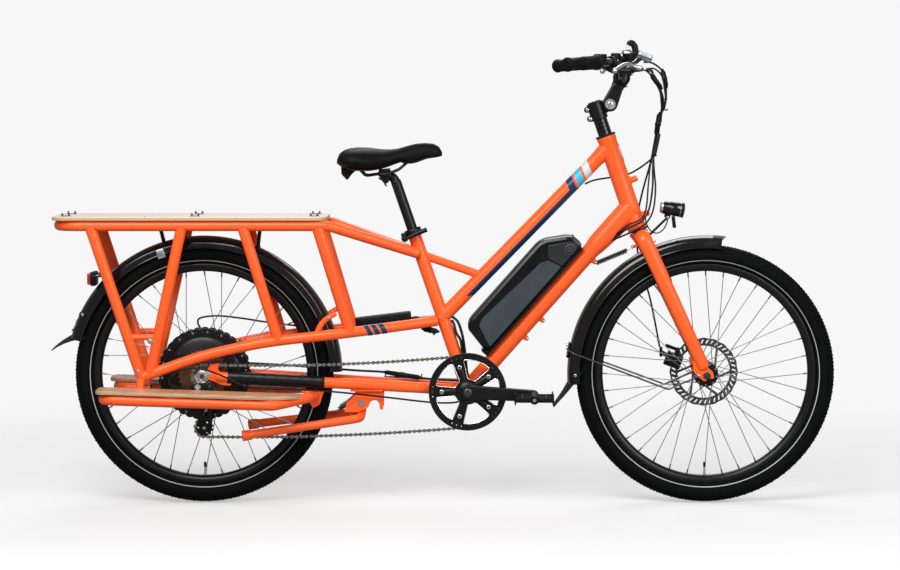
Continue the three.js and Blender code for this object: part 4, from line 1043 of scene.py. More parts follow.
def tail_light():
    piece = Piece("tail_light_lamp", "frame", PLASTIC, slot="red_lens", nodes=["tail_light"])
    piece.block(at(-286, 0, 586), (14, 66, 36), 3)
    piece.block(at(-270, 0, 596), (24, 170, 3.6), 1)
    piece.use(RED_LENS)
    piece.block(at(-296, 0, 586), (11, 60, 30), 3)
    for k in range(5):
        piece.lathe(at(-300.6, -22 + 11 * k, 586), X * -1, [(4.4, -1), (4.4, 0.2), (3, 1.4), (0.6, 1.8)], 16)
    piece.use(STEEL)
    for y in (-74, 74):
        piece.bolt(at(-268, y, 598), Z, 4, 2.6, 6)
    piece.make()


tail_light()


# ---------------------------------------------------------------- battery
def battery():
    flat = Matrix((DOWN_AXIS, DOWN_ABOVE, DOWN_AXIS.cross(DOWN_ABOVE))).transposed().to_4x4()
    place = Matrix.Translation(on_down(0)) @ flat
    half_width = 42
    case = rounded_outline(
        [(107, 29), (483, 27.8), (483, 60), (474, 74), (428, 112), (408, 119), (140, 119), (121, 108)], 13, 6)
    piece = Piece("battery_case", "battery", CASE_BLACK, slot="battery_case", nodes=["battery"])
    piece.slab([case], -half_width, half_width, 9, place)
    seam = rounded_outline([(113.6, 60), (484.2, 60), (484.2, 62.6), (113.6, 62.6)], 0.8)
    piece.use(PLASTIC)
    piece.slab([seam], -37, 37, 0.6, place)
    side_sheets = [(-half_width - 0.9, 1 - half_width), (half_width - 1, half_width + 0.9)]
    panel = rounded_outline([(124, 33), (402, 33), (393, 68), (376, 79), (165, 97), (147, 91)], 5, 5)
    piece.use(SLATE)
    for low, high in side_sheets:
        piece.slab([panel], low, high, 0.5, place)
    end_panel = rounded_outline([(406, 33), (470, 33), (472, 54), (420, 95), (396, 72)], 6, 5)
    piece.use(END_GREY)
    for low, high in side_sheets:
        piece.slab([end_panel], low, high, 0.5, place)
    lock_place = (452, 46)
    for side in (-1, 1):
        face = on_down(*lock_place, side * half_width)
        piece.use(GREY_PLASTIC)
        piece.lathe(face, Y * side, [(13, 0), (13, 1.6), (12, 2.2), (11, 2.2)], 40)
        piece.use(BLACK)
        piece.lathe(face, Y * side, [(11.4, 0), (11.4, 2.4), (7.6, 2.4), (7.4, 1)], 40)
    piece.use(PLASTIC)
    piece.lathe(on_down(128, 74, -41.5), Y * -1, [(9, 0), (9, 2.2), (8, 3), (2, 3)], 30)
    piece.make()

    lock = Piece("battery_lock_barrel", "battery_lock", DARK_STEEL, slot="black_metal",
                 nodes=["battery_lock"])
    lock.lathe(on_down(*lock_place, -half_width), Y * -1, [(7.2, -6), (7.2, 1.6), (6.4, 2.4), (2, 2.4)], 36)
    # Painted shade: a thin black slot on the barrel's face stands in for the shadowed keyway.
    lock.use(BLACK)
    lock.block(on_down(*lock_place, -half_width - 2.4), (7.5, 1.4, 0.8), 0.2, facing(Y * -1, DOWN_AXIS))
    lock.make()


battery()


# ---------------------------------------------------------------- wheels
RIM_INNER = 267
SPOKES = 36
TREAD_ROWS = (
    (0.0, 335.2, 5.6, 7.6, 2.5, 0.0), (9.6, 334.4, 4.6, 7.0, 2.4, 0.5), (-9.6, 334.4, 4.6, 7.0, 2.4, 0.5),
    (17.6, 330.8, 4.4, 7.4, 2.6, 0.0), (-17.6, 330.8, 4.4, 7.4, 2.6, 0.0),
    (26.4, 322.5, 7.0, 11.5, 2.6, 0.5), (-26.4, 322.5, 7.0, 11.5, 2.6, 0.5),
)
TREAD_COUNT = 108


def there_and_back(half):
    """A closed profile from its half: the same places again on the other side, without the last."""
    return half + [(radius, -y) for radius, y in reversed(half[:-1])]


def tyre(name, centre, body):
    piece = Piece(name + "_tyre_rubber", body, RUBBER, slot="tyre_rubber", nodes=[name + "_tyre"], smooth=50)
    half = [(284, 10.5), (287.5, 14.5), (291, 18.6), (294.5, 22.2), (298, 24.9), (303, 27.4), (309, 28.6),
            (317, 28.2),
            (324, 25.6), (329.5, 21), (333, 15.5), (335, 9), (335.8, 0)]
    inner = [(284, -8), (300, -14), (320, -12), (326, 0), (320, 12), (300, 14), (284, 8)]
    piece.lathe(centre, Y, there_and_back(half) + inner, 144, closed=True)
    for side, radius, wide, long, tall, phase in TREAD_ROWS:
        lean = math.radians(side * 2.55)
        for angle in around(TREAD_COUNT, phase):
            radial = outwards(angle)
            out = radial * math.cos(lean) + Y * math.sin(lean)
            over = Y * math.cos(lean) - radial * math.sin(lean)
            along = Z * math.cos(angle) - X * math.sin(angle)
            root = centre + radial * mm(radius - 1.2) + Y * mm(side)
            points = []
            for height, shrink in ((-1.0, 0.5), (tall, 0.39)):
                middle = root + out * mm(height)
                for a, b in ((-1, -1), (1, -1), (1, 1), (-1, 1)):
                    points.append(middle + along * mm(a * long * shrink) + over * mm(b * wide * shrink))
            piece.add(points,
                      [(0, 1, 5, 4), (1, 2, 6, 5), (2, 3, 7, 6), (3, 0, 4, 7), (4, 5, 6, 7), (3, 2, 1, 0)])
    for side in (-1, 1):
        for radius, y in ((300.5, 26.5), (304, 27.8), (318, 28.2)):
            piece.lathe(centre, Y, circle(0.5, (radius, side * y), 4), 120, closed=True)
    piece.use(STRIPE)
    for side in (-1, 1):
        stripe = [(295, side * 22), (295, side * 23.2), (296, side * 24), (297, side * 24.7),
                  (297, side * 23.4)]
        piece.lathe(centre, Y, stripe, 144, closed=True)
    piece.make()


def rim(name, centre, body):
    piece = Piece(name + "_rim_hoop", body, BLACK, slot="black_metal", nodes=[name + "_rim"])
    half = [(RIM_INNER, 0), (267.3, 5.5), (269.2, 9.5), (273, 12.6), (279, 14.4), (285.4, 14.8),
            (286.6, 14.2),
            (286, 13), (283, 12.2), (280, 8), (279.4, 0)]
    profile = half + [(r, -y) for r, y in reversed(half[1:-1])]
    piece.lathe(centre, Y, profile, 144, closed=True)
    piece.use(ALLOY)
    down = -math.pi / 2
    piece.rod(polar(centre, down, RIM_INNER + 1), polar(centre, down, 240), 2.7, 14)
    piece.lathe(polar(centre, down, RIM_INNER), Z, [(5.4, -0.6), (5.4, 2.4), (4.4, 3.2)], 6)
    piece.use(BLACK)
    piece.rod(polar(centre, down, 246), polar(centre, down, 233), 3.5, 14)
    piece.make()


def spokes(name, centre, body, flange_radius, flange_side, cross):
    """Spokes from two flanges to the rim, leaning forwards or backwards, with their heads and nipples."""
    piece = Piece(name + "_spokes", body, SPOKE_STEEL, slot="alloy")
    for i in range(SPOKES):
        side = 1 if i % 2 else -1
        lean = cross if (i // 2) % 2 else -cross
        rim_angle = 2 * math.pi * i / SPOKES
        hub_angle = rim_angle + math.radians(lean)
        layer = 1.5 if lean > 0 else -1.5
        hub_end = polar(centre, hub_angle, flange_radius, side * flange_side + layer)
        rim_end = polar(centre, rim_angle, RIM_INNER, side * 3 + layer * 0.4)
        piece.use(SPOKE_STEEL)
        piece.tube([hub_end, rim_end], 1.1, 8)
        head = Y * (1 if layer > 0 else -1)
        piece.lathe(hub_end, head, [(2.3, -1), (2.3, 1.2), (1.2, 1.9)], 10)
        piece.use(DARK_STEEL)
        inward = (hub_end - rim_end).normalized()
        piece.rod(rim_end - inward * mm(1), rim_end + inward * mm(12), 1.9, 8, ends=0.4)
    piece.make()


def disc(name, centre, body, radius, side, hub_radius):
    """A brake disc: a drilled ring with a wavy edge on curved arms, and six bolts at its hub."""
    ring_inner = radius - 19
    outline = [on_circle(radius + 0.9 * math.cos(angle * 20), angle) for angle in around(160)]
    holes = []
    for angle in around(40):
        slot = [on_circle(radius - 4.5, angle), on_circle(radius - 4.5, angle + 0.05),
                on_circle(radius - 14.5, angle + 0.115), on_circle(radius - 14.5, angle + 0.065)]
        holes.append(rounded_outline(slot, 1.6, 3))
    arms = 6
    step = 2 * math.pi / arms
    for start in around(arms):
        window = [on_circle(ring_inner - 1, start + step * u) for u in (0.05, 0.28, 0.5, 0.72, 0.95)]
        window += [on_circle(hub_radius + 8, start + step * u - 0.62) for u in (0.86, 0.5, 0.14)]
        holes.append(rounded_outline(window, 3, 3))
    piece = Piece(name + "_brake_disc", body, DISC_STEEL, slot="alloy")
    piece.plate([outline, circle(hub_radius - 6, steps=32)] + holes, side - 0.95, side + 0.95, 0.15, centre)
    piece.use(DARK_STEEL)
    for angle in around(6, 0.5):
        piece.bolt(polar(centre, angle, hub_radius, side + 0.9), Y, 3.4, 2)
    piece.make()


for name, centre, lacing, rotor in (
    ("front", FRONT_AXLE, (28, 31, 52), (89, 38.2, 24)),
    ("rear", REAR_AXLE, (112, 20, 14), (79, 46.2, 26)),
):
    tyre(name, centre, name + "_wheel")
    rim(name, centre, name + "_wheel")
    spokes(name, centre, name + "_wheel", *lacing)
    disc(name, centre, name + "_wheel", *rotor)


def front_hub():
    piece = Piece("front_hub_shell", "front_wheel", BLACK, slot="black_metal", nodes=["front_hub"])
    half = [(6.8, 46), (12, 46), (13, 45), (13, 36), (15, 34), (31, 33.6), (32, 32.6), (32, 29.8), (31, 29),
            (20, 28.4), (17, 24), (15.4, 12), (15, 0)]
    piece.lathe(FRONT_AXLE, Y, there_and_back(half), 48, closed=True)
    piece.lathe(FRONT_AXLE, Y, [(14, 33), (27, 34), (27, 37.2), (14, 37.2)], 36, closed=True)
    piece.make()


def motor():
    piece = Piece("motor_shell", "rear_wheel", BLACK, slot="black_metal", nodes=["motor_hub"])
    profile = [(8.8, -34.6), (30, -34.6), (34, -33.4), (72, -33), (76, -31.6), (90, -31), (96, -28),
               (100, -24), (103, -20), (104, 0),
               (103, 20), (100, 25), (92, 29), (84, 33), (60, 36), (34, 38), (31, 42), (31, 45), (28, 47.2),
               (16, 54), (8.8, 54)]
    piece.lathe(REAR_AXLE, Y, profile, 96, closed=True)
    lobes = [on_circle(116 + 4 * abs(math.cos(angle * SPOKES / 2)) ** 0.6, angle)
             for angle in around(6 * SPOKES)]
    holes = ring_of_holes(SPOKES, 112, 2, 8)
    for low, high in ((-23.2, -18.2), (16.8, 21.8)):
        piece.plate([lobes, circle(98, steps=72)] + holes, low, high, 0.8, REAR_AXLE)
    for angle in around(SPOKES):
        for side in (-1, 1):
            root = polar(REAR_AXLE, angle, 79, side * 30)
            tip = polar(REAR_AXLE, angle, 100, side * 23.5)
            piece.tube([root, tip], [2.4, 2.0], 8, ends=1)
    piece.use(DARK_STEEL)
    for angle in around(9, 0.5):
        piece.bolt(polar(REAR_AXLE, angle, 84, -31), Y * -1, 2.6, 2)
        piece.bolt(polar(REAR_AXLE, angle, 76, 34.2), Y, 2.6, 2)
    piece.use(STEEL)
    for angle in around(SPOKES // 2, 0.25):
        piece.lathe(polar(REAR_AXLE, angle, 109, -23), Y * -1, [(2.6, -1), (2.6, 0.6), (1.4, 1.6)], 12)
    piece.make()


front_hub()
motor()


# ---------------------------------------------------------------- drive
def teeth_outline(pitch, count, tall, root):
    """The outline of a sprocket: pointed teeth on a round body."""
    shape = (0.0, 0.05, 0.3, 0.75, 1.0, 0.75, 0.3, 0.05)
    per = len(shape)
    return [on_circle(pitch - root + (tall + root) * shape[k % per], angle)
            for k, angle in enumerate(around(count * per))]


COGS = ((28.5, 14, -58.0), (32.6, 16, -53.4), (38.6, 19, -49.2), (46.6, 23, -45.0), (56.7, 28, -40.9),
        (64.8, 32, -37.4))


def cassette():
    piece = Piece("cassette_cogs", "cassette", COG_STEEL, slot="cog_steel", nodes=["cassette"], smooth=30)
    for pitch, count, side in COGS:
        holes = [circle(9, steps=28)]
        if pitch > 40:
            holes += ring_of_holes(8, pitch - 13, min(5.5, (pitch - 30) * 0.25))
        piece.plate([teeth_outline(pitch, count, 2.6, 3.0)] + holes, side - 0.95, side + 0.95, 0.35,
                    REAR_AXLE)
    for (_, _, a), (pitch, _, b) in zip(COGS, COGS[1:]):
        piece.lathe(REAR_AXLE, Y, [(9, a), (17, a), (17, b), (9, b)], 36, closed=True)
    piece.use(STEEL)
    piece.lathe(REAR_AXLE, Y * -1,
                [(9, 58.6), (16.5, 58.6), (16.5, 62), (15.4, 62.9), (11, 62.9), (10.4, 61.6), (9, 61.6)],
                36, closed=True)
    piece.make()


cassette()


RING_PITCH, RING_TEETH = 93, 46
UPPER_JOCKEY, LOWER_JOCKEY = (12, 288, 21), (3, 202, 24)
# Each chain wheel's centre (x, z), pitch radius, way of turning, steps on its arc, and the sag
# that follows it.
CHAIN_WHEELS = (
    (CRANK_X, CRANK_Z, RING_PITCH, 1, 28, 9), (*LOWER_JOCKEY, 1, 12, 0), (*UPPER_JOCKEY, -1, 10, 0),
    (0, AXLE_HIGH, 28.3, 1, 12, 11),
)
CHAIN_SIDE = -58
LINK_PITCH = 12.7


def chain_line():
    """The chain's path as places (x, z): arcs round its four wheels, with the free runs sagging."""
    count = len(CHAIN_WHEELS)
    headings = []
    for i, (x, z, radius, turn, *_) in enumerate(CHAIN_WHEELS):
        next_x, next_z, other, other_turn, *_ = CHAIN_WHEELS[(i + 1) % count]
        dx, dz = next_x - x, next_z - z
        headings.append(math.atan2(dz, dx)
                        - math.asin((radius * turn - other * other_turn) / math.hypot(dx, dz)))

    def on_wheel(wheel, heading):
        reach = wheel[2] * wheel[3]
        return Vector((wheel[0] - reach * math.sin(heading), wheel[1] + reach * math.cos(heading)))

    line = []
    for i, wheel in enumerate(CHAIN_WHEELS):
        arriving = headings[i - 1]
        turned = ((arriving - headings[i]) * wheel[3]) % (2 * math.pi)
        for k in range(wheel[4] + 1):
            line.append(on_wheel(wheel, arriving - wheel[3] * turned * k / wheel[4]))
        following = CHAIN_WHEELS[(i + 1) % count]
        start, end = on_wheel(wheel, headings[i]), on_wheel(following, headings[i])
        steps = 24 if wheel[5] else 3
        for k in range(1, steps):
            u = k / steps
            point = start.lerp(end, u)
            point.y -= 4 * wheel[5] * u * (1 - u)
            line.append(point)
    return line


def along_loop(line, spacing):
    """Places at equal steps round a closed line, about the given distance apart."""
    lengths = [(line[(i + 1) % len(line)] - p).length for i, p in enumerate(line)]
    count = round(sum(lengths) / spacing / 2) * 2
    step = sum(lengths) / count
    places, i, passed = [], 0, 0.0
    for k in range(count):
        goal = k * step
        while passed + lengths[i] < goal:
            passed += lengths[i]
            i += 1
        places.append(line[i].lerp(line[(i + 1) % len(line)], (goal - passed) / lengths[i]))
    return places


def chain():
    piece = Piece("chain_links", "frame", CHAIN_STEEL, slot="chain_steel", nodes=["chain"], smooth=40)
    pins = along_loop(chain_line(), LINK_PITCH)
    waist = []
    for way in (-1, 1):
        bend = [math.pi * (k / 9 - way / 2) for k in range(10)]
        waist += [on_circle(4.4, angle, (way * LINK_PITCH / 2, 0)) for angle in bend]
        waist.append((0, way * 1.7))
    for i, pin in enumerate(pins):
        after = pins[(i + 1) % len(pins)]
        heading = math.atan2(after.y - pin.y, after.x - pin.x)
        c, s = math.cos(heading), math.sin(heading)
        middle = (pin + after) / 2
        inner = i % 2
        piece.use(DARK_STEEL if inner else CHAIN_STEEL)
        for side in (-1, 1):
            near = (1.9 if inner else 2.75) * side
            far = (2.7 if inner else 3.45) * side
            rings = []
            for y in sorted((near, far)):
                rings.append([at(middle.x + u * c - v * s, CHAIN_SIDE + y, middle.y + u * s + v * c) for u,
                              v in waist])
            piece.rings(rings)
        place = at(pin.x, CHAIN_SIDE, pin.y)
        piece.tube([place - Y * mm(1.9), place + Y * mm(1.9)], 3.9, 12)
        piece.tube([place - Y * mm(3.9), place + Y * mm(3.9)], 1.8, 8)
    piece.make()


chain()


RING_BOLTS = around(5, 0.5)
CRANK_DROP = math.radians(3)
CRANK_LENGTH = 170


def crank_end(side):
    return polar(CRANK_CENTRE, -CRANK_DROP, -side * CRANK_LENGTH)


def link_outline(a, b, radius_a, radius_b, steps=14):
    """The outline of an arm round two centres (x, z)."""
    a, b = Vector(a), Vector(b)
    heading = math.atan2(b.y - a.y, b.x - a.x)
    lean = math.asin((radius_a - radius_b) / (b - a).length)
    outline = []
    for centre, radius, start, end in ((b, radius_b, -(math.pi / 2 - lean), math.pi / 2 - lean),
                                       (a, radius_a, math.pi / 2 - lean, 3 * math.pi / 2 + lean)):
        for k in range(steps + 1):
            outline.append(on_circle(radius, heading + start + (end - start) * k / steps, centre))
    return outline


def flat_place(point):
    return (point.x * 1000 + MID_LENGTH, point.z * 1000)


def chainset():
    piece = Piece("chainset", "crankset", BLACK, slot="black_metal", nodes=["crankset"])
    windows = []
    for middle in around(5, 1):
        shape = [on_circle(84, middle + u) for u in (-0.45, -0.24, 0, 0.24, 0.45)]
        shape += [on_circle(33, middle + u) for u in (0.3, 0, -0.3)]
        windows.append(rounded_outline(shape, 7, 4))
    drilled = [circle(1.8, on_circle(91, angle + u), 10) for angle in RING_BOLTS for u in (-0.14, 0, 0.14)]
    guard = [circle(101, steps=96), circle(24, steps=40)]
    piece.plate(guard + windows + drilled, -66, -62.8, 0.9, CRANK_CENTRE)
    piece.use(DARK_STEEL)
    teeth = [teeth_outline(RING_PITCH, RING_TEETH, 2.2, 3.2), circle(RING_PITCH - 7, steps=72)]
    piece.plate(teeth, CHAIN_SIDE - 1.2, CHAIN_SIDE + 1.2, 0.4, CRANK_CENTRE)
    piece.use(ALLOY)
    for window in windows:
        edge = [CRANK_CENTRE + Vector((mm(x), mm(-66.2), mm(z))) for x, z in window]
        piece.tube(edge + edge[:1], 0.9, 8)
    piece.use(BLACK)
    for angle in RING_BOLTS:
        place = [polar(CRANK_CENTRE, angle, r, -67.6) for r in (28, 50, 72)]
        piece.tube(place, [8.2, 7.6, 7.4], 20, flat=0.5, across=Y, ends=2)
    piece.lathe(CRANK_CENTRE, Y * -1, [(30, 66), (31, 70), (26, 76), (20, 79), (8, 80)], 40)
    piece.lathe(CRANK_CENTRE, Y, [(9, -78), (20, -70), (20, -50), (9, -46)], 32, closed=True)
    piece.use(STEEL)
    bolt_head = [(5.6, 0), (5.6, 2.2), (4.8, 2.8), (3.2, 2.8), (3, 1.6)]
    for angle in RING_BOLTS:
        piece.lathe(polar(CRANK_CENTRE, angle, 67, -69.6), Y * -1, bolt_head, 24)
    for side in (-1, 1):
        piece.use(BLACK)
        end = crank_end(side)
        low, high = sorted((side * 70, side * 84))
        piece.plate([link_outline((CRANK_X, CRANK_Z), flat_place(end), 19, 15)], low, high, 3.2)
        boss = CRANK_CENTRE + Y * mm(side * 83)
        piece.lathe(boss, Y * side, [(17, -2), (17, 1.2), (15.6, 2.4), (11, 2.4)], 36)
        piece.use(DARK_STEEL)
        piece.lathe(boss, Y * side, [(10.6, 1), (10.6, 3.8), (9.4, 4.6), (4, 4.6), (3.6, 3)], 24)
        piece.use(STEEL)
        piece.rod(end + Y * mm(side * 68), end + Y * mm(side * 188), 4.6, 20)
        piece.lathe(end + Y * mm(side * 84), Y * side, [(8.4, -1), (8.4, 5.4), (7.6, 6.2), (5, 6.2)], 6)
    piece.use(DARK_STEEL)
    piece.tube([CRANK_CENTRE - Y * mm(78), CRANK_CENTRE + Y * mm(78)], 8.2, 24)
    piece.make()


chainset()


def pedal(name, side):
    """A platform pedal: a body on the axle, two toothed cage plates, end bars and a middle bar on each half,
    all in black plastic.
    """
    piece = Piece("pedal_%s_platform" % name, "pedal_" + name, PLASTIC, slot="black_plastic",
                  nodes=["pedal_" + name])
    half, tooth_count = 47, 12
    centre = crank_end(side) + Y * mm(side * 139)
    sleeve = [(5.8, half), (10.5, half), (11.5, half - 3), (9.5, 30)]
    piece.lathe(centre, Y, [(r, -y) for r, y in sleeve] + sleeve[::-1], 28, closed=True)
    bar = rounded_outline([(-half, -6.5), (half, -6.5), (half, 6.5), (-half, 6.5)], 3)
    pitch = 2 * half / tooth_count
    teeth = []
    for k in range(tooth_count):
        start = -half + k * pitch
        teeth += [(start, 11.2), (start + 0.35 * pitch, 13.4), (start + 0.65 * pitch, 13.4)]
    teeth.append((half, 11.2))
    cage = teeth[::-1] + [(u, -v) for u, v in teeth]
    crosswise = Matrix(((0, 0, 1, 0), (1, 0, 0, 0), (0, 1, 0, 0), (0, 0, 0, 1)))
    for sign in (-1, 1):
        for outline, across in ((bar, 30), (cage, 48.5)):
            flat = Matrix.Translation(centre + X * mm(sign * across)) @ crosswise
            piece.slab([outline], -1.6, 1.6, 0.5, flat)
        middle = centre + X * mm(sign * 27)
        for end in (-1, 1):
            piece.block(middle + Y * mm(end * (half - 3)), (46, 5, 13), 1.2)
        piece.block(middle, (44, 6, 11), 1)
    piece.make()


pedal("right", -1)
pedal("left", 1)


def jockey(name, x, z, pitch, count):
    """A small toothed pulley with six holes, on its bush."""
    piece = Piece(name + "_wheel", name, PLASTIC, slot="black_plastic", nodes=[name], smooth=30)
    centre = at(x, 0, z)
    holes = [circle(4.8, steps=20)] + ring_of_holes(6, pitch - 9, 2.6)
    piece.plate([teeth_outline(pitch, count, 1.6, 3.6)] + holes, CHAIN_SIDE - 1.3, CHAIN_SIDE + 1.3, 0.3,
                centre)
    bush = [(radius, CHAIN_SIDE + y) for radius, y in ((4.8, -2), (8, -2), (8, 2), (4.8, 2))]
    piece.lathe(centre, Y, bush, 24, closed=True)
    piece.make()


jockey("jockey_upper", *UPPER_JOCKEY, 10)
jockey("jockey_lower", *LOWER_JOCKEY, 12)


def derailleur():
    cage = Piece("derailleur_cage_plates", "frame", BLACK, slot="black_metal", nodes=["derailleur_cage"])
    upper, lower = UPPER_JOCKEY[:2], LOWER_JOCKEY[:2]
    window = rounded_outline([(2, 232), (12, 232), (16, 262), (6, 262)], 4)
    holes = [window] + ring_of_holes(9, 15.5, 2.6, start=0.5, centre=lower)
    for low, high in ((-64.6, -62.6), (-53.4, -51.4)):
        cage.plate([link_outline(upper, lower, 14, 20, 12)] + holes, low, high, 0.5)
        cage.plate([circle(9, lower, 20)], low - 0.6, high + 0.6, 0.5)
    cage.use(STEEL)
    for x, z in (upper, lower):
        cage.tube([at(x, -64, z), at(x, -52, z)], 3.2, 14)
        cage.bolt(at(x, -65, z), Y * -1, 4.6, 2.4)
    cage.make()

    body = Piece("derailleur_linkage", "frame", BLACK, slot="black_metal", nodes=["derailleur_body"])
    knuckle = rounded_outline([(-26, 312), (-8, 324), (16, 316), (22, 298), (12, 278), (-6, 280),
                               (-22, 296)], 8)
    body.plate([knuckle], -80, -72.4, 2.6)
    body.plate([link_outline((20, 312), (10, 286), 12, 14)], -88, -81, 2.4)
    body.plate([link_outline((-22, 306), (8, 284), 8, 12)], -74.5, -66.4, 2.2)
    body.plate([rounded_outline([(6, 270), (30, 276), (26, 300), (4, 296)], 5)], -71, -66.3, 1.5)
    body.use(DARK_STEEL)
    body.bolt(at(20, -87.6, 312), Y * -1, 4.4, 2.6)
    body.bolt(at(6, -80, 289), Y * -1, 5, 3)
    body.use(ALLOY)
    body.lathe(at(-11, -80, 310), Y * -1, [(8, -2), (8, 9), (7, 10), (4, 10), (3.6, 8)], 28)
    body.use(DARK_STEEL)
    body.coil(at(-10, -77, 296), at(16, -77, 306), 4.6, 0.9, 7)
    body.make()


derailleur()


SADDLE_TOP = (
    (348, 897), (354, 912), (366, 921), (384, 926), (404, 928), (430, 927), (462, 923), (486, 922.5),
    (506, 925),
    (528, 932), (552, 938), (576, 939.5), (598, 937), (612, 929), (620, 915),
)
SADDLE_BOTTOM = (
    (348, 885), (358, 878), (376, 871), (398, 867), (430, 866.5), (454, 870), (476, 876), (512, 889),
    (522, 886),
    (540, 885), (556, 889), (580, 898), (600, 901), (620, 905),
)
SADDLE_HALF_WIDTH = (
    (348, 42), (354, 62), (364, 75), (378, 83), (394, 86.5), (412, 84), (432, 75), (452, 62), (474, 50),
    (500, 39),
    (530, 31), (560, 26), (588, 22.5), (606, 18), (616, 12), (620, 6),
)
SADDLE_WAIST = 0.42


def value_at(line, x):
    """The second number, at x, on a line through pairs."""
    for (x0, value0), (x1, value1) in zip(line, line[1:]):
        if x0 <= x <= x1:
            return value0 + (value1 - value0) * (x - x0) / (x1 - x0)
    return line[-1][1]


def saddle_section(x):
    return value_at(SADDLE_TOP, x), value_at(SADDLE_BOTTOM, x), value_at(SADDLE_HALF_WIDTH, x)


def crowned(low, high, spread):
    """The height of the pad's upper side, spread being 0 at its middle and 1 at its edge."""
    return low + (high - low) * (SADDLE_WAIST + (1 - SADDLE_WAIST) * (1 - spread ** 2.6) ** 0.62)


def saddle():
    """The saddle: a crowned pad with a rolled edge and a centre channel, its base shell, rails and bumper."""
    piece = Piece("saddle_pad", "seat_post", VINYL, slot="saddle_vinyl", nodes=["saddle"], smooth=60)
    rings = []
    tail, nose = SADDLE_TOP[0][0], SADDLE_TOP[-1][0]
    stations = [tail + (nose - tail) * (0.5 - 0.5 * math.cos(math.pi * k / 46)) for k in range(47)]
    for x in stations:
        high, low, half = saddle_section(x)
        dip = 3.2 * math.exp(-((x - 470) / 90) ** 2)
        ring = []
        for angle in around(40):
            c, s = math.cos(angle), math.sin(angle)
            y = half * math.copysign(abs(c) ** 0.62, c)
            if s >= 0:
                z = crowned(low, high, abs(y) / half) - dip * math.exp(-(y / 9) ** 2)
            else:
                z = low + (high - low) * SADDLE_WAIST * (1 - (-s) ** 0.7)
            ring.append(at(x, y, z))
        rings.append(ring)
    piece.rings(rings)
    seam_spread = 0.86
    for side in (-1, 1):
        seam = []
        for x in stations[2:-2]:
            high, low, half = saddle_section(x)
            seam.append(at(x, side * half * seam_spread, crowned(low, high, seam_spread) + 0.3))
        piece.tube(seam, 0.9, 6)
    piece.use(PLASTIC)
    shell = []
    for x in stations[3:-3]:
        _, low, half = saddle_section(x)
        width = half * seam_spread
        shell.append([at(x, width * math.cos(angle), low + 4 + 5 * math.sin(angle)) for angle in around(24)])
    piece.rings(shell)
    bumper = rounded_outline([(358, 882), (359, 858), (374, 842), (385, 857), (398, 868), (396, 882)], 4)
    piece.plate([bumper], -30, 30, 4)
    piece.use(BLACK)
    for side in (-1, 1):
        corners = [at(400, side * 34, 878), at(422, side * 22, 853.5), at(456, side * 22, 858.5),
                   at(490, side * 22, 862.5),
                   at(508, side * 20, 870), at(534, side * 14, 892)]
        piece.tube(rounded_line(corners, 14, 8), 3.6, 16)
    pad = piece.make()


saddle()


def seat_post():
    piece = Piece("seat_post_tube", "seat_post", BLACK, slot="black_metal", nodes=["seat_post"])
    piece.tube([on_seat(185), on_seat(-146)], 13.6, 36, ends=5)
    neck = curve_through([on_seat(-128), at(497, 0, 842), at(489, 0, 851), at(474, 0, 855)], 6)
    mark_count, mark_pitch = 9, 9
    piece.tube(neck, [13 - 2 * k / len(neck) for k in range(len(neck))], 32, ends=3)
    cradle = rounded_outline([(456, 868), (485, 872), (488, 852), (482, 838), (472, 830), (458, 848)], 4)
    piece.plate([cradle], -19, 19, 3)
    for side in (-1, 1):
        piece.block(at(470, side * 22, 857), (30, 14, 9), 2, tilt(Y, -6))
        piece.block(at(470, side * 22, 867), (30, 14, 8), 2, tilt(Y, -6))
    piece.use(DARK_STEEL)
    for x, z in ((459, 846), (474, 830)):
        piece.bolt(at(x, 0, z), X * -0.6 + Z * -0.8, 4.6, 3)
    for k in range(mark_count):
        place = on_seat(-20 - mark_pitch * k, 0, -13.55)
        piece.block(place, (5 if k % 3 else 9, 0.3, 0.7), 0.05, tilt(Y, LEAN_DEGREES))
    piece.make()


seat_post()


def seat_clamp():
    piece = Piece("seat_clamp_collar", "frame", BLACK, slot="black_metal", nodes=["seat_clamp"])
    ring = [(17.2, 0), (21.2, 0), (22, 1.2), (22, 19.5), (21, 21), (14.2, 21), (14.2, 17), (17.2, 16)]
    piece.lathe(on_seat(9), HEAD_AXIS, ring, 48, closed=True)
    piece.block(on_seat(-1, -24), (18, 15, 17), 2.5, tilt(Y, -LEAN_DEGREES))
    piece.use(STEEL)
    piece.tube([on_seat(5, -26, -24), on_seat(5, -26, 15)], 3.2, 14)
    piece.use(BLACK)
    piece.lathe(on_seat(5, -26, -24), Y, [(4, 0), (9, 0.8), (9, 14), (8, 15)], 28)
    piece.lathe(on_seat(5, -26, 8), Y, [(6.5, 0), (6.5, 5), (5.4, 6.4), (3, 6.4)], 20)
    piece.make()
    lever = Piece("seat_clamp_handle", "seat_clamp_lever", BLACK, slot="black_metal",
                  nodes=["seat_clamp_lever"])
    lever.tube([on_seat(1, -26, -29), on_seat(13, -26, -29)], 5.6, 20, ends=1)
    line = curve_through([on_seat(6, -26, -30), on_seat(4, -8, -32), on_seat(2, 12, -32),
                          on_seat(1, 36, -29)], 6)
    lever.tube(line, [5 + 1.5 * k / len(line) for k in range(len(line))], 18, ends=2)
    lever.make()


seat_clamp()


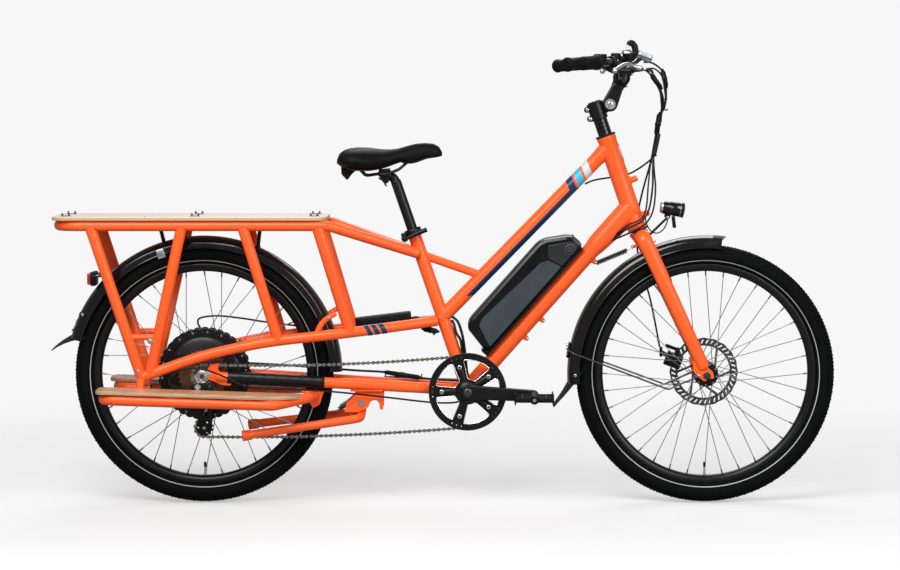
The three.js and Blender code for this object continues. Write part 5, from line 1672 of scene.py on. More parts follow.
def centre_stand():
    piece = Piece("centre_stand", "kickstand", ORANGE, slot="frame_paint", nodes=["kickstand"])
    pivot, cross = (410, 263), (408, 229)
    half = [at(118, -122, 190), at(cross[0], -84, cross[1])]
    piece.tube(rounded_line(half + [mirrored(p, -1) for p in reversed(half)], 30, 10), 11, 28, ends=1)
    for side in (-1, 1):
        low, high = sorted((side * 20, side * 27))
        piece.plate([link_outline(pivot, cross, 13, 12), circle(5.6, pivot, 16)], low, high, 0.8)
        foot = at(120, side * 122, 190)
        heading = mirrored(half[0] - half[1], -side).normalized()
        boot = [foot + heading * mm(along) for along in (-14, -8, 14)]
        piece.tube(boot, [11, 13.4, 13.8], 28, ends=2)
    piece.plate([rounded_outline([(372, 214), (408, 214), (408, 236), (380, 232)], 4)], -8, 8, 1)
    piece.make()
    spring = Piece("stand_spring", "frame", DARK_STEEL, slot="black_metal")
    for side in (-1, 1):
        spring.coil(at(352, side * 30, 247), at(402, side * 30, 279), 5, 1.3, 15)
        spring.rod(at(346, side * 30, 243), at(354, side * 30, 248), 1.6, 10)
        spring.rod(at(400, side * 30, 278), at(411, side * 30, 285), 1.6, 10)
    spring.make()


centre_stand()


# ---------------------------------------------------------------- fork, front fender and lamp
CROWN = on_head(277, 3)


def fork():
    piece = Piece("fork_skin", "fork", ORANGE, slot="frame_paint", nodes=["fork"])
    piece.lathe(on_head(265), HEAD_AXIS * -1,
                [(23.4, 0), (24.4, 1), (24.4, 7), (22.5, 10), (20, 16), (17, 26)], 44)
    for side in (-1, 1):
        shoulder, foot = CROWN + Y * mm(side * 56) + Z * mm(5), at(1299, side * 56, 357)
        down = (foot - shoulder).normalized()
        line = rounded_line([CROWN + Y * mm(side), shoulder, foot], 42, 14)
        sizes = [20 - 4 * max(0, (p - shoulder).dot(down)) / (foot - shoulder).length for p in line]
        piece.use(ORANGE)
        piece.tube(line, sizes, 40, flat=0.68, across=down, ends=3)
        tip = rounded_outline(
            [(1268, 376), (1300, 366), (1322, 346), (1325, 330), (1318, 329), (1312, 330), (1306, 328),
             (1304, 322),
             (1296, 324), (1282, 334), (1272, 346)], 4, 4)
        low, high = sorted((side * 51, side * 59))
        piece.plate([tip], low, high, 1.4)
        piece.use(STEEL)
        nut = FRONT_AXLE + Y * mm(side * 59)
        piece.bolt(at(1284, side * 64, 337), Y * side, 4.6, 3.8)
        piece.use(DARK_STEEL)
        piece.lathe(nut, Y * side, [(10, -1), (10, 1.4), (9, 2), (7, 2)], 28)
        piece.lathe(nut, Y * side, [(9, 1.8), (9, 8), (8.2, 9), (5.4, 9.2)], 6)
        piece.lathe(nut, Y * side, [(5, 8.8), (5, 11.4), (4.4, 12)], 18)
        piece.lathe(nut, Y * side, [(9, -9.6), (9, -7.8), (6, -7.8)], 24)
    piece.tube([FRONT_AXLE - Y * mm(58), FRONT_AXLE + Y * mm(58)], 5, 20)
    piece.use(BLACK)
    bracket = [(1163, 0, 668), (1156, 0, 682), (1152, 0, 692), (1163, 0, 703), (1203, 0, 742)]
    piece.tube(smooth(bracket), 3.3, 14, ends=1)
    piece.lathe(at(1152, 0, 676), X, [(6, -6), (6, 5), (5, 6), (3, 6)], 20)
    piece.use(STEEL)
    piece.bolt(at(1162, 0, 680), X + Z * 0.25, 5, 4, 7, hexagon=True)
    piece.rod(at(1166, 0, 681), at(1176, 0, 683.5), 2.6, 12)
    piece.use(ORANGE)
    piece.plate([rounded_outline([(1112, 664), (1130, 668), (1134, 680), (1118, 672)], 3)], -2.5, 2.5, 0.8)
    piece.use(STEEL)
    piece.rod(on_head(-84), on_head(270), 14, 24)
    piece.make()


fork()


def front_fender():
    piece = Piece("front_fender_shell", "fork", GLOSS, slot="fender_black", nodes=["front_fender"])
    fender_shell(piece, FRONT_AXLE, FENDER_RADIUS, 83.5, 184.5)
    piece.use(PLASTIC)
    fender_shell(piece, FRONT_AXLE, FENDER_RADIUS + 1.4, 81.6, 86.4, half_width=37.2, wall=2.0, steps=6,
                 skew=6)
    flap_sheet(piece, [(958, 352), (954, 338), (950, 324), (942, 308), (930, 288), (918, 270), (908, 254)],
               37, bow=24)
    piece.use(BLACK)
    piece.block(at(949.5, 0, 399), (5, 34, 40), 1.2, tilt(Y, 10))
    piece.use(DARK_STEEL)
    half = [at(1284, 67, 337), at(1206, 64, 302), at(960, 44, 394), at(947, 30, 400)]
    corners = half + [mirrored(p, -1) for p in reversed(half)]
    piece.tube(rounded_line(corners, 12, 8), 2.3, 12, ends=0.8)
    piece.use(STEEL)
    for side in (-1, 1):
        for z in (386, 413):
            piece.bolt(at(946.5, side * 9, z), X * -1, 4, 3)
        piece.bolt(at(966, side * 37.5, 336), Y * side, 4.2, 2.6)
    piece.make()


front_fender()


def headlight():
    rear, front = at(1192, 0, 771.6), at(1248, 0, 763.7)
    ahead = (front - rear).normalized()
    piece = Piece("headlight_case", "headlight", GLOSS, slot="fender_black", nodes=["headlight"])
    case = [(12, -1), (15.6, 1), (16.4, 5), (16.6, 17), (17.8, 19), (18.4, 20), (18.4, 22), (18, 23),
            (19.4, 50),
            (20.2, 51), (20.2, 56.4), (19.2, 57), (18, 57), (17.4, 55)]
    piece.lathe(rear, ahead, case, 56)
    for k in range(4):
        piece.lathe(rear + ahead * mm(6 + 3 * k), ahead, [(16, -0.9), (17.6, -0.6), (17.6, 0.6), (16, 0.9)],
                    48)
    piece.use(ALLOY)
    piece.lathe(rear, ahead, [(6, -5.4), (12, -5), (14.6, -3.4), (15.8, -1), (15.8, 2), (14, 2)], 48)
    piece.lathe(rear + ahead * mm(47.5), ahead, [(18.8, -0.9), (19.9, -0.6), (19.9, 0.6), (18.8, 0.9)], 48)
    piece.use(CLEAR_LENS)
    piece.lathe(rear, ahead, [(17.6, 54), (17.6, 56), (13, 58.4), (7, 59.8), (0.6, 60.4)], 40)
    piece.use(PLASTIC)
    piece.block(at(1206, 0, 751), (16, 13, 13), 2, tilt(Y, 8))
    piece.rod(at(1206, -8.5, 745), at(1206, 8.5, 745), 5.2, 24)
    piece.block(at(1222.5, 0, 733), (9, 11, 31), 2.6, tilt(Y, -7))
    piece.use(STEEL)
    piece.bolt(at(1206, -8.6, 745), Y * -1, 3.8, 2.4)
    piece.make()


headlight()


# ---------------------------------------------------------------- stem and handlebar
def stem_base():
    piece = Piece("stem_base_clamp", "fork", GLOSS, slot="black_metal", nodes=["stem_base"])
    for k in range(4):
        piece.lathe(on_head(-3.2 - 10.1 * k), HEAD_AXIS, [(16.6, 0), (18, 0.7), (18, 9.3), (16.6, 10)], 44)
    piece.use(BLACK)
    piece.lathe(on_head(-43.8), HEAD_AXIS, [(20.4, 0), (22, 1.6), (22, 44.4), (20.6, 46), (17, 46.6)], 48)
    piece.lathe(on_head(-90.2), HEAD_AXIS, [(17.4, -0.6), (17.4, 1), (15.6, 2.8), (6, 3)], 40)
    lug = [link_outline(flat_place(on_head(-66)), flat_place(STEM_PIVOT), 16, 15)]
    piece.plate(lug, -10, 10, 2.4)
    upright = facing(HEAD_AXIS, HEAD_AHEAD)
    for down in (-53, -78):
        ear = on_head(down, -24)
        piece.use(BLACK)
        piece.block(on_head(down, -18), (16, 19, 13), 1.6, upright)
        piece.lathe(ear - Y * mm(11.5), Y, [(6, 0), (7.8, 1), (7.8, 22), (6, 23)], 30)
        piece.use(ALLOY)
        for side in (-1, 1):
            piece.bolt(ear + Y * mm(side * 11.2), Y * side, 4.8, 2.6)
    piece.use(STEEL)
    piece.bolt(on_head(-93), HEAD_AXIS, 4.6, 2)
    piece.make()


stem_base()


def stem_arm():
    piece = Piece("stem_arm_body", "handlebar", BLACK, slot="black_metal", nodes=["stem_arm"])
    pivot, bar = flat_place(STEM_PIVOT), flat_place(BAR_CENTRE)

    def part_way(u):
        return (pivot[0] + (bar[0] - pivot[0]) * u, pivot[1] + (bar[1] - pivot[1]) * u)

    for low, high in ((-22, -10.9), (10.9, 22)):
        piece.plate([link_outline(pivot, part_way(0.58), 19.4, 14.8)], low, high, 2.6)
    piece.plate([link_outline(part_way(0.5), part_way(0.96), 14.6, 18)], -19.5, 19.5, 5)
    ring = [(16.4, -24), (20, -24), (21.4, -22.6), (21.4, -1), (20.8, 0), (21.4, 1), (21.4, 22.6), (20, 24),
            (16.4, 24)]
    piece.lathe(BAR_CENTRE, Y, ring, 56, closed=True)
    arm = (BAR_CENTRE - STEM_PIVOT).normalized()
    ahead = Vector((arm.z, 0, -arm.x))
    for y in (-15, 15):
        for along in (-14, 19):
            foot = BAR_CENTRE + arm * mm(along) + Y * mm(y)
            piece.use(BLACK)
            piece.rod(foot - ahead * mm(6), foot + ahead * mm(19), 5.4, 18)
            piece.use(ALLOY)
            piece.bolt(foot + ahead * mm(19), ahead, 4.2, 3.4)
    for side in (-1, 1):
        face = STEM_PIVOT + Y * mm(side * 22)
        piece.use(ALLOY)
        piece.lathe(face, Y * side, [(14, -1), (14, 1.4), (12.8, 2.6), (9.4, 2.6), (9, 1.8), (8.6, 1.8)], 48)
        piece.lathe(face, Y * side, [(7.2, 0.5), (7.2, 2.8), (6, 3.6), (3.8, 3.6), (3.4, 1)], 28)
    piece.make()


stem_arm()


GRIP_END, GRIP_ROOT = at(927, 335, 1139), at(1019, 223, 1146)
BAR_BEND, BAR_KNEE = at(1078, 110, 1146), at(1085, 52, 1107)


def on_grip(distance, side):
    return mirrored(GRIP_END + (GRIP_ROOT - GRIP_END).normalized() * mm(distance), side)


def on_bar(y, side):
    """A place on the bar's sloping part between the bend and the grip's root."""
    return mirrored(BAR_BEND.lerp(GRIP_ROOT, (y - 110) / 113), side)


def handlebar():
    piece = Piece("handlebar_tube", "handlebar", GLOSS, slot="black_metal", nodes=["handlebar"])
    half = [on_grip(5, 1), GRIP_ROOT, BAR_BEND, BAR_KNEE]
    corners = half + [mirrored(p, -1) for p in reversed(half)]
    bends = rounded_line(corners, 62, 14)
    line = []
    for a, b in zip(bends, bends[1:]):
        steps = max(1, round((b - a).length * 1000 / 6))
        line += [a.lerp(b, k / steps) for k in range(steps)]
    line.append(corners[-1])
    sizes = []
    for p in line:
        side = abs(p.y) * 1000
        sizes.append(15.8 if side < 34 else 11.1 + 4.7 * max(0, 1 - (side - 34) / 26))
    piece.tube(line, sizes, 32)
    piece.use(BLACK)
    for side in (-1, 1):
        place = on_bar(165, side)
        heading = (on_bar(180, side) - on_bar(150, side)).normalized()
        piece.lathe(place, heading, [(11.2, -9), (15, -9), (16, -8), (16, 8), (15, 9), (11.2, 9)], 36,
                    closed=True)
        body = smooth([(1050, 163, 1140), (1066, 165, 1129), (1084, 168, 1124), (1106, 170, 1125)], 6)
        piece.tube([mirrored(p, side) for p in body], 8.2, 20, flat=0.9, ends=3)
        hinge = mirrored(at(1104, 170, 1136), side)
        piece.lathe(hinge, Z, [(8.6, -11), (8.6, -6.2), (3, -6.2)], 28)
        piece.lathe(hinge, Z, [(3, 8.2), (8.6, 8.2), (8.6, 10.4), (7.4, 11.4)], 28)
        piece.rod(mirrored(at(1112, 164, 1128), side), mirrored(at(1130, 158, 1129), side), 5, 18)
        piece.use(STEEL)
        piece.bolt(hinge + Z * mm(11.2), Z, 3.6, 1.8)
        piece.bolt(place + X * mm(14.6) + Z * mm(5), X, 3.4, 2.6)
        piece.rod(mirrored(at(1129, 158.4, 1129), side), mirrored(at(1137, 155.6, 1129.4), side), 3.6, 14)
        piece.use(BLACK)
    piece.use(PLASTIC)
    clamp = on_grip(128.5, -1)
    axis = mirrored((GRIP_ROOT - GRIP_END).normalized(), -1)
    piece.lathe(clamp, axis, [(11.2, -5.5), (17.6, -5.5), (19.4, -4), (19.4, 4.4), (17, 6), (11.2, 6)], 40,
                closed=True)
    piece.block(clamp + axis * mm(15) + Z * mm(7), (30, 27, 28), 4, facing(Z, axis))
    piece.block(on_bar(141, -1) + Z * mm(12), (24, 22, 24), 4, facing(Z, Vector((-0.46, -0.89, 0))))
    piece.use(STEEL)
    piece.bolt(clamp + axis * mm(15) + Z * mm(21), Z, 3.2, 1.6)
    piece.use(PLASTIC)
    shifter_clamp = [(11.2, -9), (16, -9), (17, -7.5), (17, 7.5), (16, 9), (11.2, 9)]
    piece.lathe(on_bar(112, -1), Vector((-0.46, 0.89, 0)), shifter_clamp, 36, closed=True)
    piece.block(at(1094, -104, 1151), (24, 24, 20), 4, tilt(Y, -35))
    piece.make()


handlebar()


def grip(name, side, length, ribs_from, ribs_to):
    """A rubber grip with a collar at each end, and ribs that are deep from ribs_from to ribs_to."""
    piece = Piece(name + "_rubber", "handlebar", GRIP, slot="grip_rubber", nodes=[name], smooth=60)
    root, heading = on_grip(0, side), (on_grip(100, side) - on_grip(0, side)).normalized()
    radius, rib_pitch, rib = 16.4, 4.2, 20.0
    profile = [(6, -0.4), (12, 0), (16, 1.6), (18, 5), (18.2, 9), (17.2, 14), (radius, 18)]
    while rib < length - 9:
        valley = radius - (0.9 if ribs_from < rib < ribs_to else 0.25)
        profile += [(radius, rib), (valley, rib + 1.0), (valley, rib + 1.9), (radius, rib + 2.9)]
        rib += rib_pitch
    profile += [(radius, length - 7), (17.6, length - 5.5), (17.6, length - 0.6), (16.6, length),
                (12, length)]
    piece.lathe(root, heading, profile, 56)
    piece.make()


grip("grip_left", 1, 122, 44, 100)
grip("grip_right", -1, 76, 36, 70)

# The throttle sleeve from its outer end: distance along the grip, radius, depth of its grooves.
SLEEVE_RINGS = (
    (78, 15.6, 0), (78.6, 17.2, 0), (82, 17.4, 0), (84, 17.4, 1.1), (113, 17.4, 1.1), (115, 17.4, 0),
    (119, 18.6, 0), (121.4, 18.6, 0), (122, 17.6, 0),
)


def throttle():
    piece = Piece("throttle_sleeve", "throttle", GRIP, slot="grip_rubber", nodes=["throttle"], smooth=60)
    heading = (on_grip(100, -1) - on_grip(0, -1)).normalized()
    u, v = frame_across(heading)
    rings = []
    for distance, size, depth in SLEEVE_RINGS:
        ring = []
        for k, angle in enumerate(around(72)):
            radius = size - (depth if k % 4 < 2 else 0)
            ring.append(on_grip(distance, -1) + (u * math.cos(angle) + v * math.sin(angle)) * mm(radius))
        rings.append(ring)
    piece.rings(rings)
    piece.make()


throttle()


def brake_lever(name, side):
    piece = Piece("brake_lever_%s_blade" % name, "brake_lever_" + name, ALLOY, slot="alloy",
                  nodes=["brake_lever_" + name], smooth=60)
    hinge = mirrored(at(1104, 170, 1136), side)
    piece.lathe(hinge, Z, [(6.4, -5.8), (7.6, -5), (7.6, 6.8), (6.4, 7.8)], 32)
    places = [(1105, 172, 1136.6), (1100, 186, 1138.6), (1093, 206, 1141), (1081, 232, 1141),
              (1067, 258, 1135), (1056, 280, 1128), (1052, 288, 1125)]
    line = [mirrored(p, side) for p in smooth(places, 7)]
    count = len(line) - 1
    sizes = [6.6 - 1.8 * min(1, k / count * 2.2) for k in range(count + 1)]
    piece.tube(line, sizes, 20, flat=0.82, ends=2)
    piece.tube([hinge, mirrored(at(1126, 168, 1131), side)], [7.5, 6.6], 24, ends=2)
    ball = mirrored(at(1051, 290, 1124.6), side)
    piece.lathe(ball, Y, [(0.5, -7), (4, -6), (6.4, -2.8), (7, 0), (6.4, 2.8), (4, 6), (0.5, 7)], 24)
    piece.make()


brake_lever("right", -1)
brake_lever("left", 1)


DISPLAY_TILT = 0.34


def display():
    piece = Piece("display_case", "handlebar", PLASTIC, slot="black_plastic", nodes=["display"])
    turn = Matrix.Rotation(DISPLAY_TILT, 3, "Y")
    up = turn @ Z
    centre = at(1143, 0, 1161)
    piece.use(CASE_SILVER)
    piece.block(centre, (39, 67, 19), 3, turn)
    piece.use(PLASTIC)
    piece.block(centre - up * mm(1), (40, 68, 3), 1, turn)
    piece.use(SCREEN)
    piece.block(centre + up * mm(9.4), (35, 60, 1.6), 0.5, turn)
    piece.use(PLASTIC)
    for across in (-18, 0, 18):
        button = centre + turn @ Vector((mm(-14.5), mm(across), mm(9.8)))
        piece.lathe(button, up, [(4, 0), (4, 1), (3, 1.5), (0.6, 1.6)], 20)
    for side in (-1, 1):
        arm = [(1088, side * 37, 1125), (1106, side * 37, 1134), (1134, side * 31, 1157)]
        piece.tube(smooth(arm, 6), 4, 14, ends=1)
        piece.lathe(at(1085, side * 37, 1108.5), Y, [(15.4, -5), (18.6, -5), (18.6, 5), (15.4, 5)], 36,
                    closed=True)
        piece.use(STEEL)
        piece.bolt(at(1101, side * 37, 1134), Z + X * -0.4, 3, 2)
        piece.use(PLASTIC)
    piece.make()


display()


def bell():
    piece = Piece("bell_dome", "handlebar", ALLOY, slot="alloy", nodes=["bell"], smooth=60)
    base = at(1090, -136, 1168)
    dome = [(14.2 * math.cos(math.radians(12 * k)), 13.5 * math.sin(math.radians(12 * k))) for k in range(8)]
    piece.lathe(base, Z, [(12.6, -0.4), (13.6, -0.6)] + dome + [(0.3, 13.6)], 48)
    piece.lathe(base + Z * mm(13), Z, [(3.6, -0.5), (3.6, 1.2), (2.6, 2.2), (0.5, 2.4)], 20)
    piece.use(PLASTIC)
    piece.lathe(base, Z, [(10, -6), (10.6, -5), (10.6, -0.6), (9, -0.4)], 32)
    piece.tube([base - Z * mm(5), at(1080, -135, 1156), at(1064, -138, 1150)], [5, 5, 6], 18, ends=1)
    piece.make()
    striker = Piece("bell_striker_arm", "bell_striker", PLASTIC, slot="black_plastic", nodes=["bell_striker"])
    striker.tube([at(1091, -152.6, 1166), at(1100, -154.6, 1167), at(1108, -156, 1168.6)], [2.4, 2.3, 2.8],
                 16, ends=1)
    striker.lathe(at(1109, -156, 1168.6), X, [(2, -2), (4, -1.4), (4.4, 0), (4, 1.4), (2, 2)], 20)
    striker.make()


bell()


def shift_lever():
    piece = Piece("shift_lever_paddle", "shift_lever", PLASTIC, slot="black_plastic", nodes=["shift_lever"],
                  smooth=60)
    line = smooth([(1102, -100, 1150), (1112, -100, 1166), (1113, -100, 1184), (1104, -100, 1196),
                   (1095, -100, 1192)], 7)
    count = len(line) - 1
    sizes = [6.2 + 2.2 * math.sin(math.pi * k / count) for k in range(count + 1)]
    piece.tube(line, sizes, 24, flat=0.9, across=Y, ends=3)
    piece.make()


shift_lever()


# ---------------------------------------------------------------- brake calipers
def caliper(name, body, axle, angle, disc_radius, sides, node, cable_side):
    """A cable caliper: two halves beside the disc, a bridge over its edge, an arm and a barrel for the cable.

    sides are the y of its inner face, of the two faces beside the disc, and of its outer face.
    """
    inner, gap_low, gap_high, outer = sides
    out = X * math.cos(angle) + Z * math.sin(angle)
    along = Z * math.cos(angle) - X * math.sin(angle)
    turn = Matrix((out, Y, along)).transposed()
    if turn.determinant() < 0:
        turn = Matrix((out, Y, along * -1)).transposed()

    def place(r, y, t=0.0):
        return axle + out * mm(r) + Y * mm(y) + along * mm(t)

    piece = Piece(name, body, BLACK, slot="black_metal", nodes=[node])
    middle, depth = disc_radius - 5, 44
    piece.block(place(middle, (gap_high + outer) / 2), (depth, outer - gap_high, 38), 2.4, turn)
    piece.block(place(middle, (inner + gap_low) / 2), (depth, gap_low - inner, 34), 1.6, turn)
    piece.block(place(disc_radius + 10.5, (inner + outer) / 2), (13, outer - inner, 36), 2, turn)
    piece.lathe(place(middle - 2, outer - 1), Y, [(14, 0), (14, 3), (12.6, 4.6), (6, 4.6)], 32)
    piece.use(STEEL)
    piece.lathe(place(middle - 2, outer + 3), Y, [(6, 0), (6, 2.4), (5, 3.2), (2.6, 3.2)], 6)
    for t in (-14, 14):
        piece.bolt(place(disc_radius + 9, outer - 0.4, t), Y, 3.8, 3)
    piece.use(BLACK)
    arm_tip = place(disc_radius + 32, outer + 3.4, cable_side * 8)
    arm = [place(middle - 2, outer + 3.4), place(disc_radius + 8, outer + 3.4, cable_side * 4), arm_tip]
    piece.tube(curve_through(arm, 6), 6, 16, flat=0.4, across=Y, ends=1)
    piece.block(place(disc_radius + 14, (inner + outer) / 2, cable_side * 30), (30, 12, 9), 2, turn)
    piece.block(place(disc_radius - 6, (inner + outer) / 2, cable_side * 26), (11, 12, 20), 2, turn)
    piece.rod(arm_tip - Z * mm(12), arm_tip + Z * mm(14), 4, 18, ends=1)
    piece.use(STEEL)
    piece.bolt(arm_tip + Y * mm(2.4), Y, 4.4, 2.4)
    piece.lathe(place(disc_radius - 2, outer + 3.6, cable_side * -6), Y, [(6, -2), (6, 2), (5, 3), (2, 3)],
                24)
    piece.make()


caliper("front_caliper_body", "fork", FRONT_AXLE, math.radians(159.4), 90, (31, 35.4, 41, 50),
        "front_brake_caliper", -1)
caliper("rear_caliper_body", "frame", REAR_AXLE, math.radians(34), 80, (40, 43.4, 49, 58),
        "rear_brake_caliper", 1)


# ---------------------------------------------------------------- spring and cables
def bending(name, bodies, start, end, slot, nodes=()):
    """A piece running between two bodies: made like the others, with the two bodies and its ends noted on it,
    then left in world space without a body.
    """
    piece = Piece(name, None, slot=slot, nodes=nodes, smooth=60)
    piece.bend = (*bodies, start, end)
    return piece


def steering_spring():
    rear, front = at(1022, 0, 626), at(1101, 0, 659)
    heading = (front - rear).normalized()
    piece = bending("steering_spring_coil", ("frame", "fork"), rear, front, "black_metal",
                    ["steering_spring"])
    piece.use(GLOSS)
    piece.coil(rear, front, 5.4, 1.35, 22, per=16)
    piece.use(STEEL)
    hooks = ((rear, heading * -1, at(1010, 0, 633)), (front, heading, at(1117, 0, 668)))
    wire = 1.2
    for root, away, catch in hooks:
        piece.tube(curve_through([root, root + away * mm(5), catch], 6), 1.3, 10, ends=0.5)
        eye = []
        for angle in around(20):
            eye.append([polar(catch, angle, 4.4 + wire * math.cos(t), wire * math.sin(t)) for t in around(5)])
        piece.rings(eye, closed=True)
    piece.make()


steering_spring()


def connector(piece, start, end, radius):
    """A plug and socket joined in line with a cable, with a collar at the middle and tapered boots."""
    length = (end - start).length * 1000
    plug = [(2.6, -7), (radius * 0.72, 0), (radius, 2)]
    collar = [(radius, 0.42), (radius * 1.14, 0.45), (radius * 1.14, 0.55), (radius, 0.58)]
    socket = [(radius * 0.92, length - 2), (radius * 0.7, length), (2.6, length + 7)]
    profile = plug + [(r, length * part) for r, part in collar] + socket
    piece.use(PLASTIC)
    piece.lathe(start, end - start, profile, 28)
    piece.use(CABLE)


def bar_cables():
    piece = bending("bar_cable_bundle", ("handlebar", "fork"), at(1190, 0, 1112), at(1186, 0, 1000),
                    "black_plastic", ["bar_cables"])
    piece.use(CABLE)
    low = [at(1186, 0, 1010), at(1184, 0, 986)]
    brake_right = [(1136, -156, 1129), (1150, -130, 1128), (1160, -80, 1122), (1163, -30, 1112),
                   (1176, -12, 1092),
                   (1191, -8, 1060), (1192, -5, 1030)]
    brake_left = [(1136, 156, 1129), (1152, 128, 1128), (1166, 76, 1124), (1174, 30, 1110), (1184, 10, 1084),
                  (1193, 6, 1056), (1193, 4, 1030)]
    screen = [(1143, 8, 1147), (1160, 8, 1147), (1180, 6, 1136), (1194, 4, 1118), (1200, 2, 1086),
              (1201, 1, 1056),
              (1196, 1, 1028)]
    throttle_wire = [(1060, -150, 1140), (1086, -120, 1126), (1124, -70, 1124), (1148, -26, 1130),
                     (1170, -8, 1130),
                     (1189, -3, 1112), (1196, -2, 1080), (1199, -2, 1052), (1194, -2, 1028)]
    shift = [(1104, -114, 1140), (1130, -90, 1131), (1152, -50, 1120), (1168, -22, 1100), (1184, -10, 1072),
             (1188, -6, 1044), (1189, -4, 1024)]
    for run, radius in ((brake_right, 2.6), (brake_left, 2.6), (screen, 2.5), (throttle_wire, 2.2),
                        (shift, 2.5)):
        places = [at(*p) for p in run]
        apart = places[-1] - low[0]
        piece.tube(curve_through(places + [low[0] + apart * 0.4, low[1] + apart * 0.3], 8), radius, 14)
    connector(piece, at(1162, -24, 1111), at(1186, -10, 1083), 6.2)
    connector(piece, at(1192, 4, 1124), at(1201, 1, 1086), 6.6)
    piece.use(PLASTIC)
    for z in (1024, 1052):
        piece.lathe(at(1194.5, 0, z), Z + X * 0.05, [(8.4, -1.5), (9.2, -1.5), (9.2, 1.5), (8.4, 1.5)], 24,
                    closed=True)
    piece.block(at(1203.5, -2, 1024.5), (4, 4, 4), 0.8)
    piece.make()


bar_cables()


def frame_cables():
    piece = bending("frame_cable_bundle", ("fork", "frame"), at(1180, 0, 950), at(1100, -20, 720),
                    "black_plastic", ["frame_cables"])
    connector(piece, at(1184, 0, 1012), at(1176, -2, 962), 7.2)
    trunk = [(1184, 0, 984), (1180, -2, 955), (1174, -4, 926), (1169, -6, 904)]
    sleeve_top = mm(966)
    piece.tube([p for p in smooth(trunk) if p.z < sleeve_top], 5.9, 24, ends=1.4)
    runs = (
        (2.6, [(1166, -14, 870), (1165, -26, 826), (1156, -35, 770), (1138, -39, 738), (1108, -38, 722),
               (1080, -30, 704), (1060, -8, 688)]),
        (2.4, [(1170, -10, 868), (1173, -20, 820), (1166, -32, 764), (1146, -38, 730), (1114, -40, 711),
               (1084, -32, 697), (1056, -12, 684)]),
        (2.2, [(1160, -12, 880), (1154, -26, 830), (1148, -34, 770), (1134, -37, 742), (1104, -36, 728),
               (1080, -28, 709), (1062, -6, 692)]),
        (2.4, [(1152, 14, 886), (1128, 32, 868), (1104, 38, 856), (1060, 36, 848), (1016, 22, 841),
               (992, 6, 832)]),
    )
    for radius, places in runs:
        piece.tube(smooth(trunk + places), radius, 14, ends=0.6)
    piece.use(PLASTIC)
    piece.lathe(at(1170, -6, 908), Z + X * 0.2, [(6.4, -1.6), (7.4, -1.6), (7.4, 1.6), (6.4, 1.6)], 24,
                closed=True)
    piece.make()


frame_cables()


def front_brake_cable():
    piece = Piece("front_brake_hose", "fork", CABLE, slot="black_plastic", nodes=["front_brake_cable"],
                  smooth=60)
    places = [(1178, 10, 976), (1171, 20, 932), (1164, 30, 890), (1142, 56, 800), (1132, 70, 740),
              (1132, 79, 672),
              (1140, 78, 620), (1154, 71, 572), (1167, 64, 525), (1180, 57, 462), (1191, 53.4, 402)]
    piece.tube(smooth(places), 2.5, 14, ends=0.6)
    piece.use(ALLOY)
    for z, x, y in ((486, 1175.4, 59.6), (420, 1187.8, 54.2)):
        piece.lathe(at(x, y, z), Z + X * -0.2, [(2.6, -3), (3.8, -3), (3.8, 3), (2.6, 3)], 18, closed=True)
    piece.use(BLACK)
    piece.lathe(at(1132.4, 79, 668), Z + X * -0.1, [(2.4, -4), (5, -4), (5, 4), (2.4, 4)], 18, closed=True)
    piece.tube([at(1133, 77, 668), at(1146, 64, 668)], 3, 12)
    piece.make()


front_brake_cable()


def lamp_cable():
    piece = bending("lamp_cable_loop", ("fork", "headlight"), at(1180, 0, 712), at(1204, 0, 742),
                    "black_plastic")
    piece.use(CABLE)
    places = [(1148, 5, 752), (1152, 5, 728), (1164, 4, 709), (1180, 3, 704), (1196, 3, 714), (1205, 2, 732),
              (1207, 1, 746)]
    piece.tube(smooth(places), 1.7, 12, ends=0.4)
    piece.make()


lamp_cable()


def rear_cables():
    piece = Piece("rear_cable_runs", "frame", CABLE, slot="black_plastic", nodes=["rear_shift_cable"],
                  smooth=60)
    shift = [(680, -10, 268), (644, -24, 263), (587, -38, 266), (470, -52, 281), (342, -66, 296),
             (240, -80, 304),
             (123, -90, 310), (74, -94, 331), (41, -97, 346), (8, -99, 357), (-25, -99, 361), (-51, -98, 356),
             (-74, -96, 342), (-84, -94, 324), (-66, -88, 309), (-34, -80, 306)]
    motor_wire = [(666, 6, 318), (640, 8, 319), (600, 9, 321), (560, 14, 325), (472, 34, 337), (400, 48, 340),
                  (300, 62, 346), (200, 76, 352), (110, 84, 356), (50, 86, 356), (16, 84, 350), (2, 80, 342)]
    brake = [(566, 14, 470), (470, 58, 449), (345, 80, 447), (239, 84, 455), (150, 82, 466), (88, 78, 476),
             (24, 75, 482), (-21, 72, 474), (-14, 68, 448), (20, 66, 430), (52, 62, 412)]
    for run, radius in ((shift, 2.4), (motor_wire, 3), (brake, 2.5)):
        piece.tube(smooth(run), radius, 14, ends=0.6)
    looms = (
        [(641, 6, 486), (651, -4, 483), (662, -10, 471), (672, -12, 441), (678, -12, 406), (682, -12, 366),
         (686, -10, 326)],
        [(645, 0, 476), (650, -8, 469), (657, -14, 444), (667, -18, 428), (672, -18, 402), (676, -18, 364),
         (684, -14, 326)],
    )
    for line in looms:
        piece.tube(smooth(line), 3.6, 16, ends=0.6)
    connector(piece, at(572, -8, 455), at(606, -14, 449), 7.5)
    connector(piece, at(560, 14, 325), at(472, 34, 337), 6.5)
    piece.make()


rear_cables()


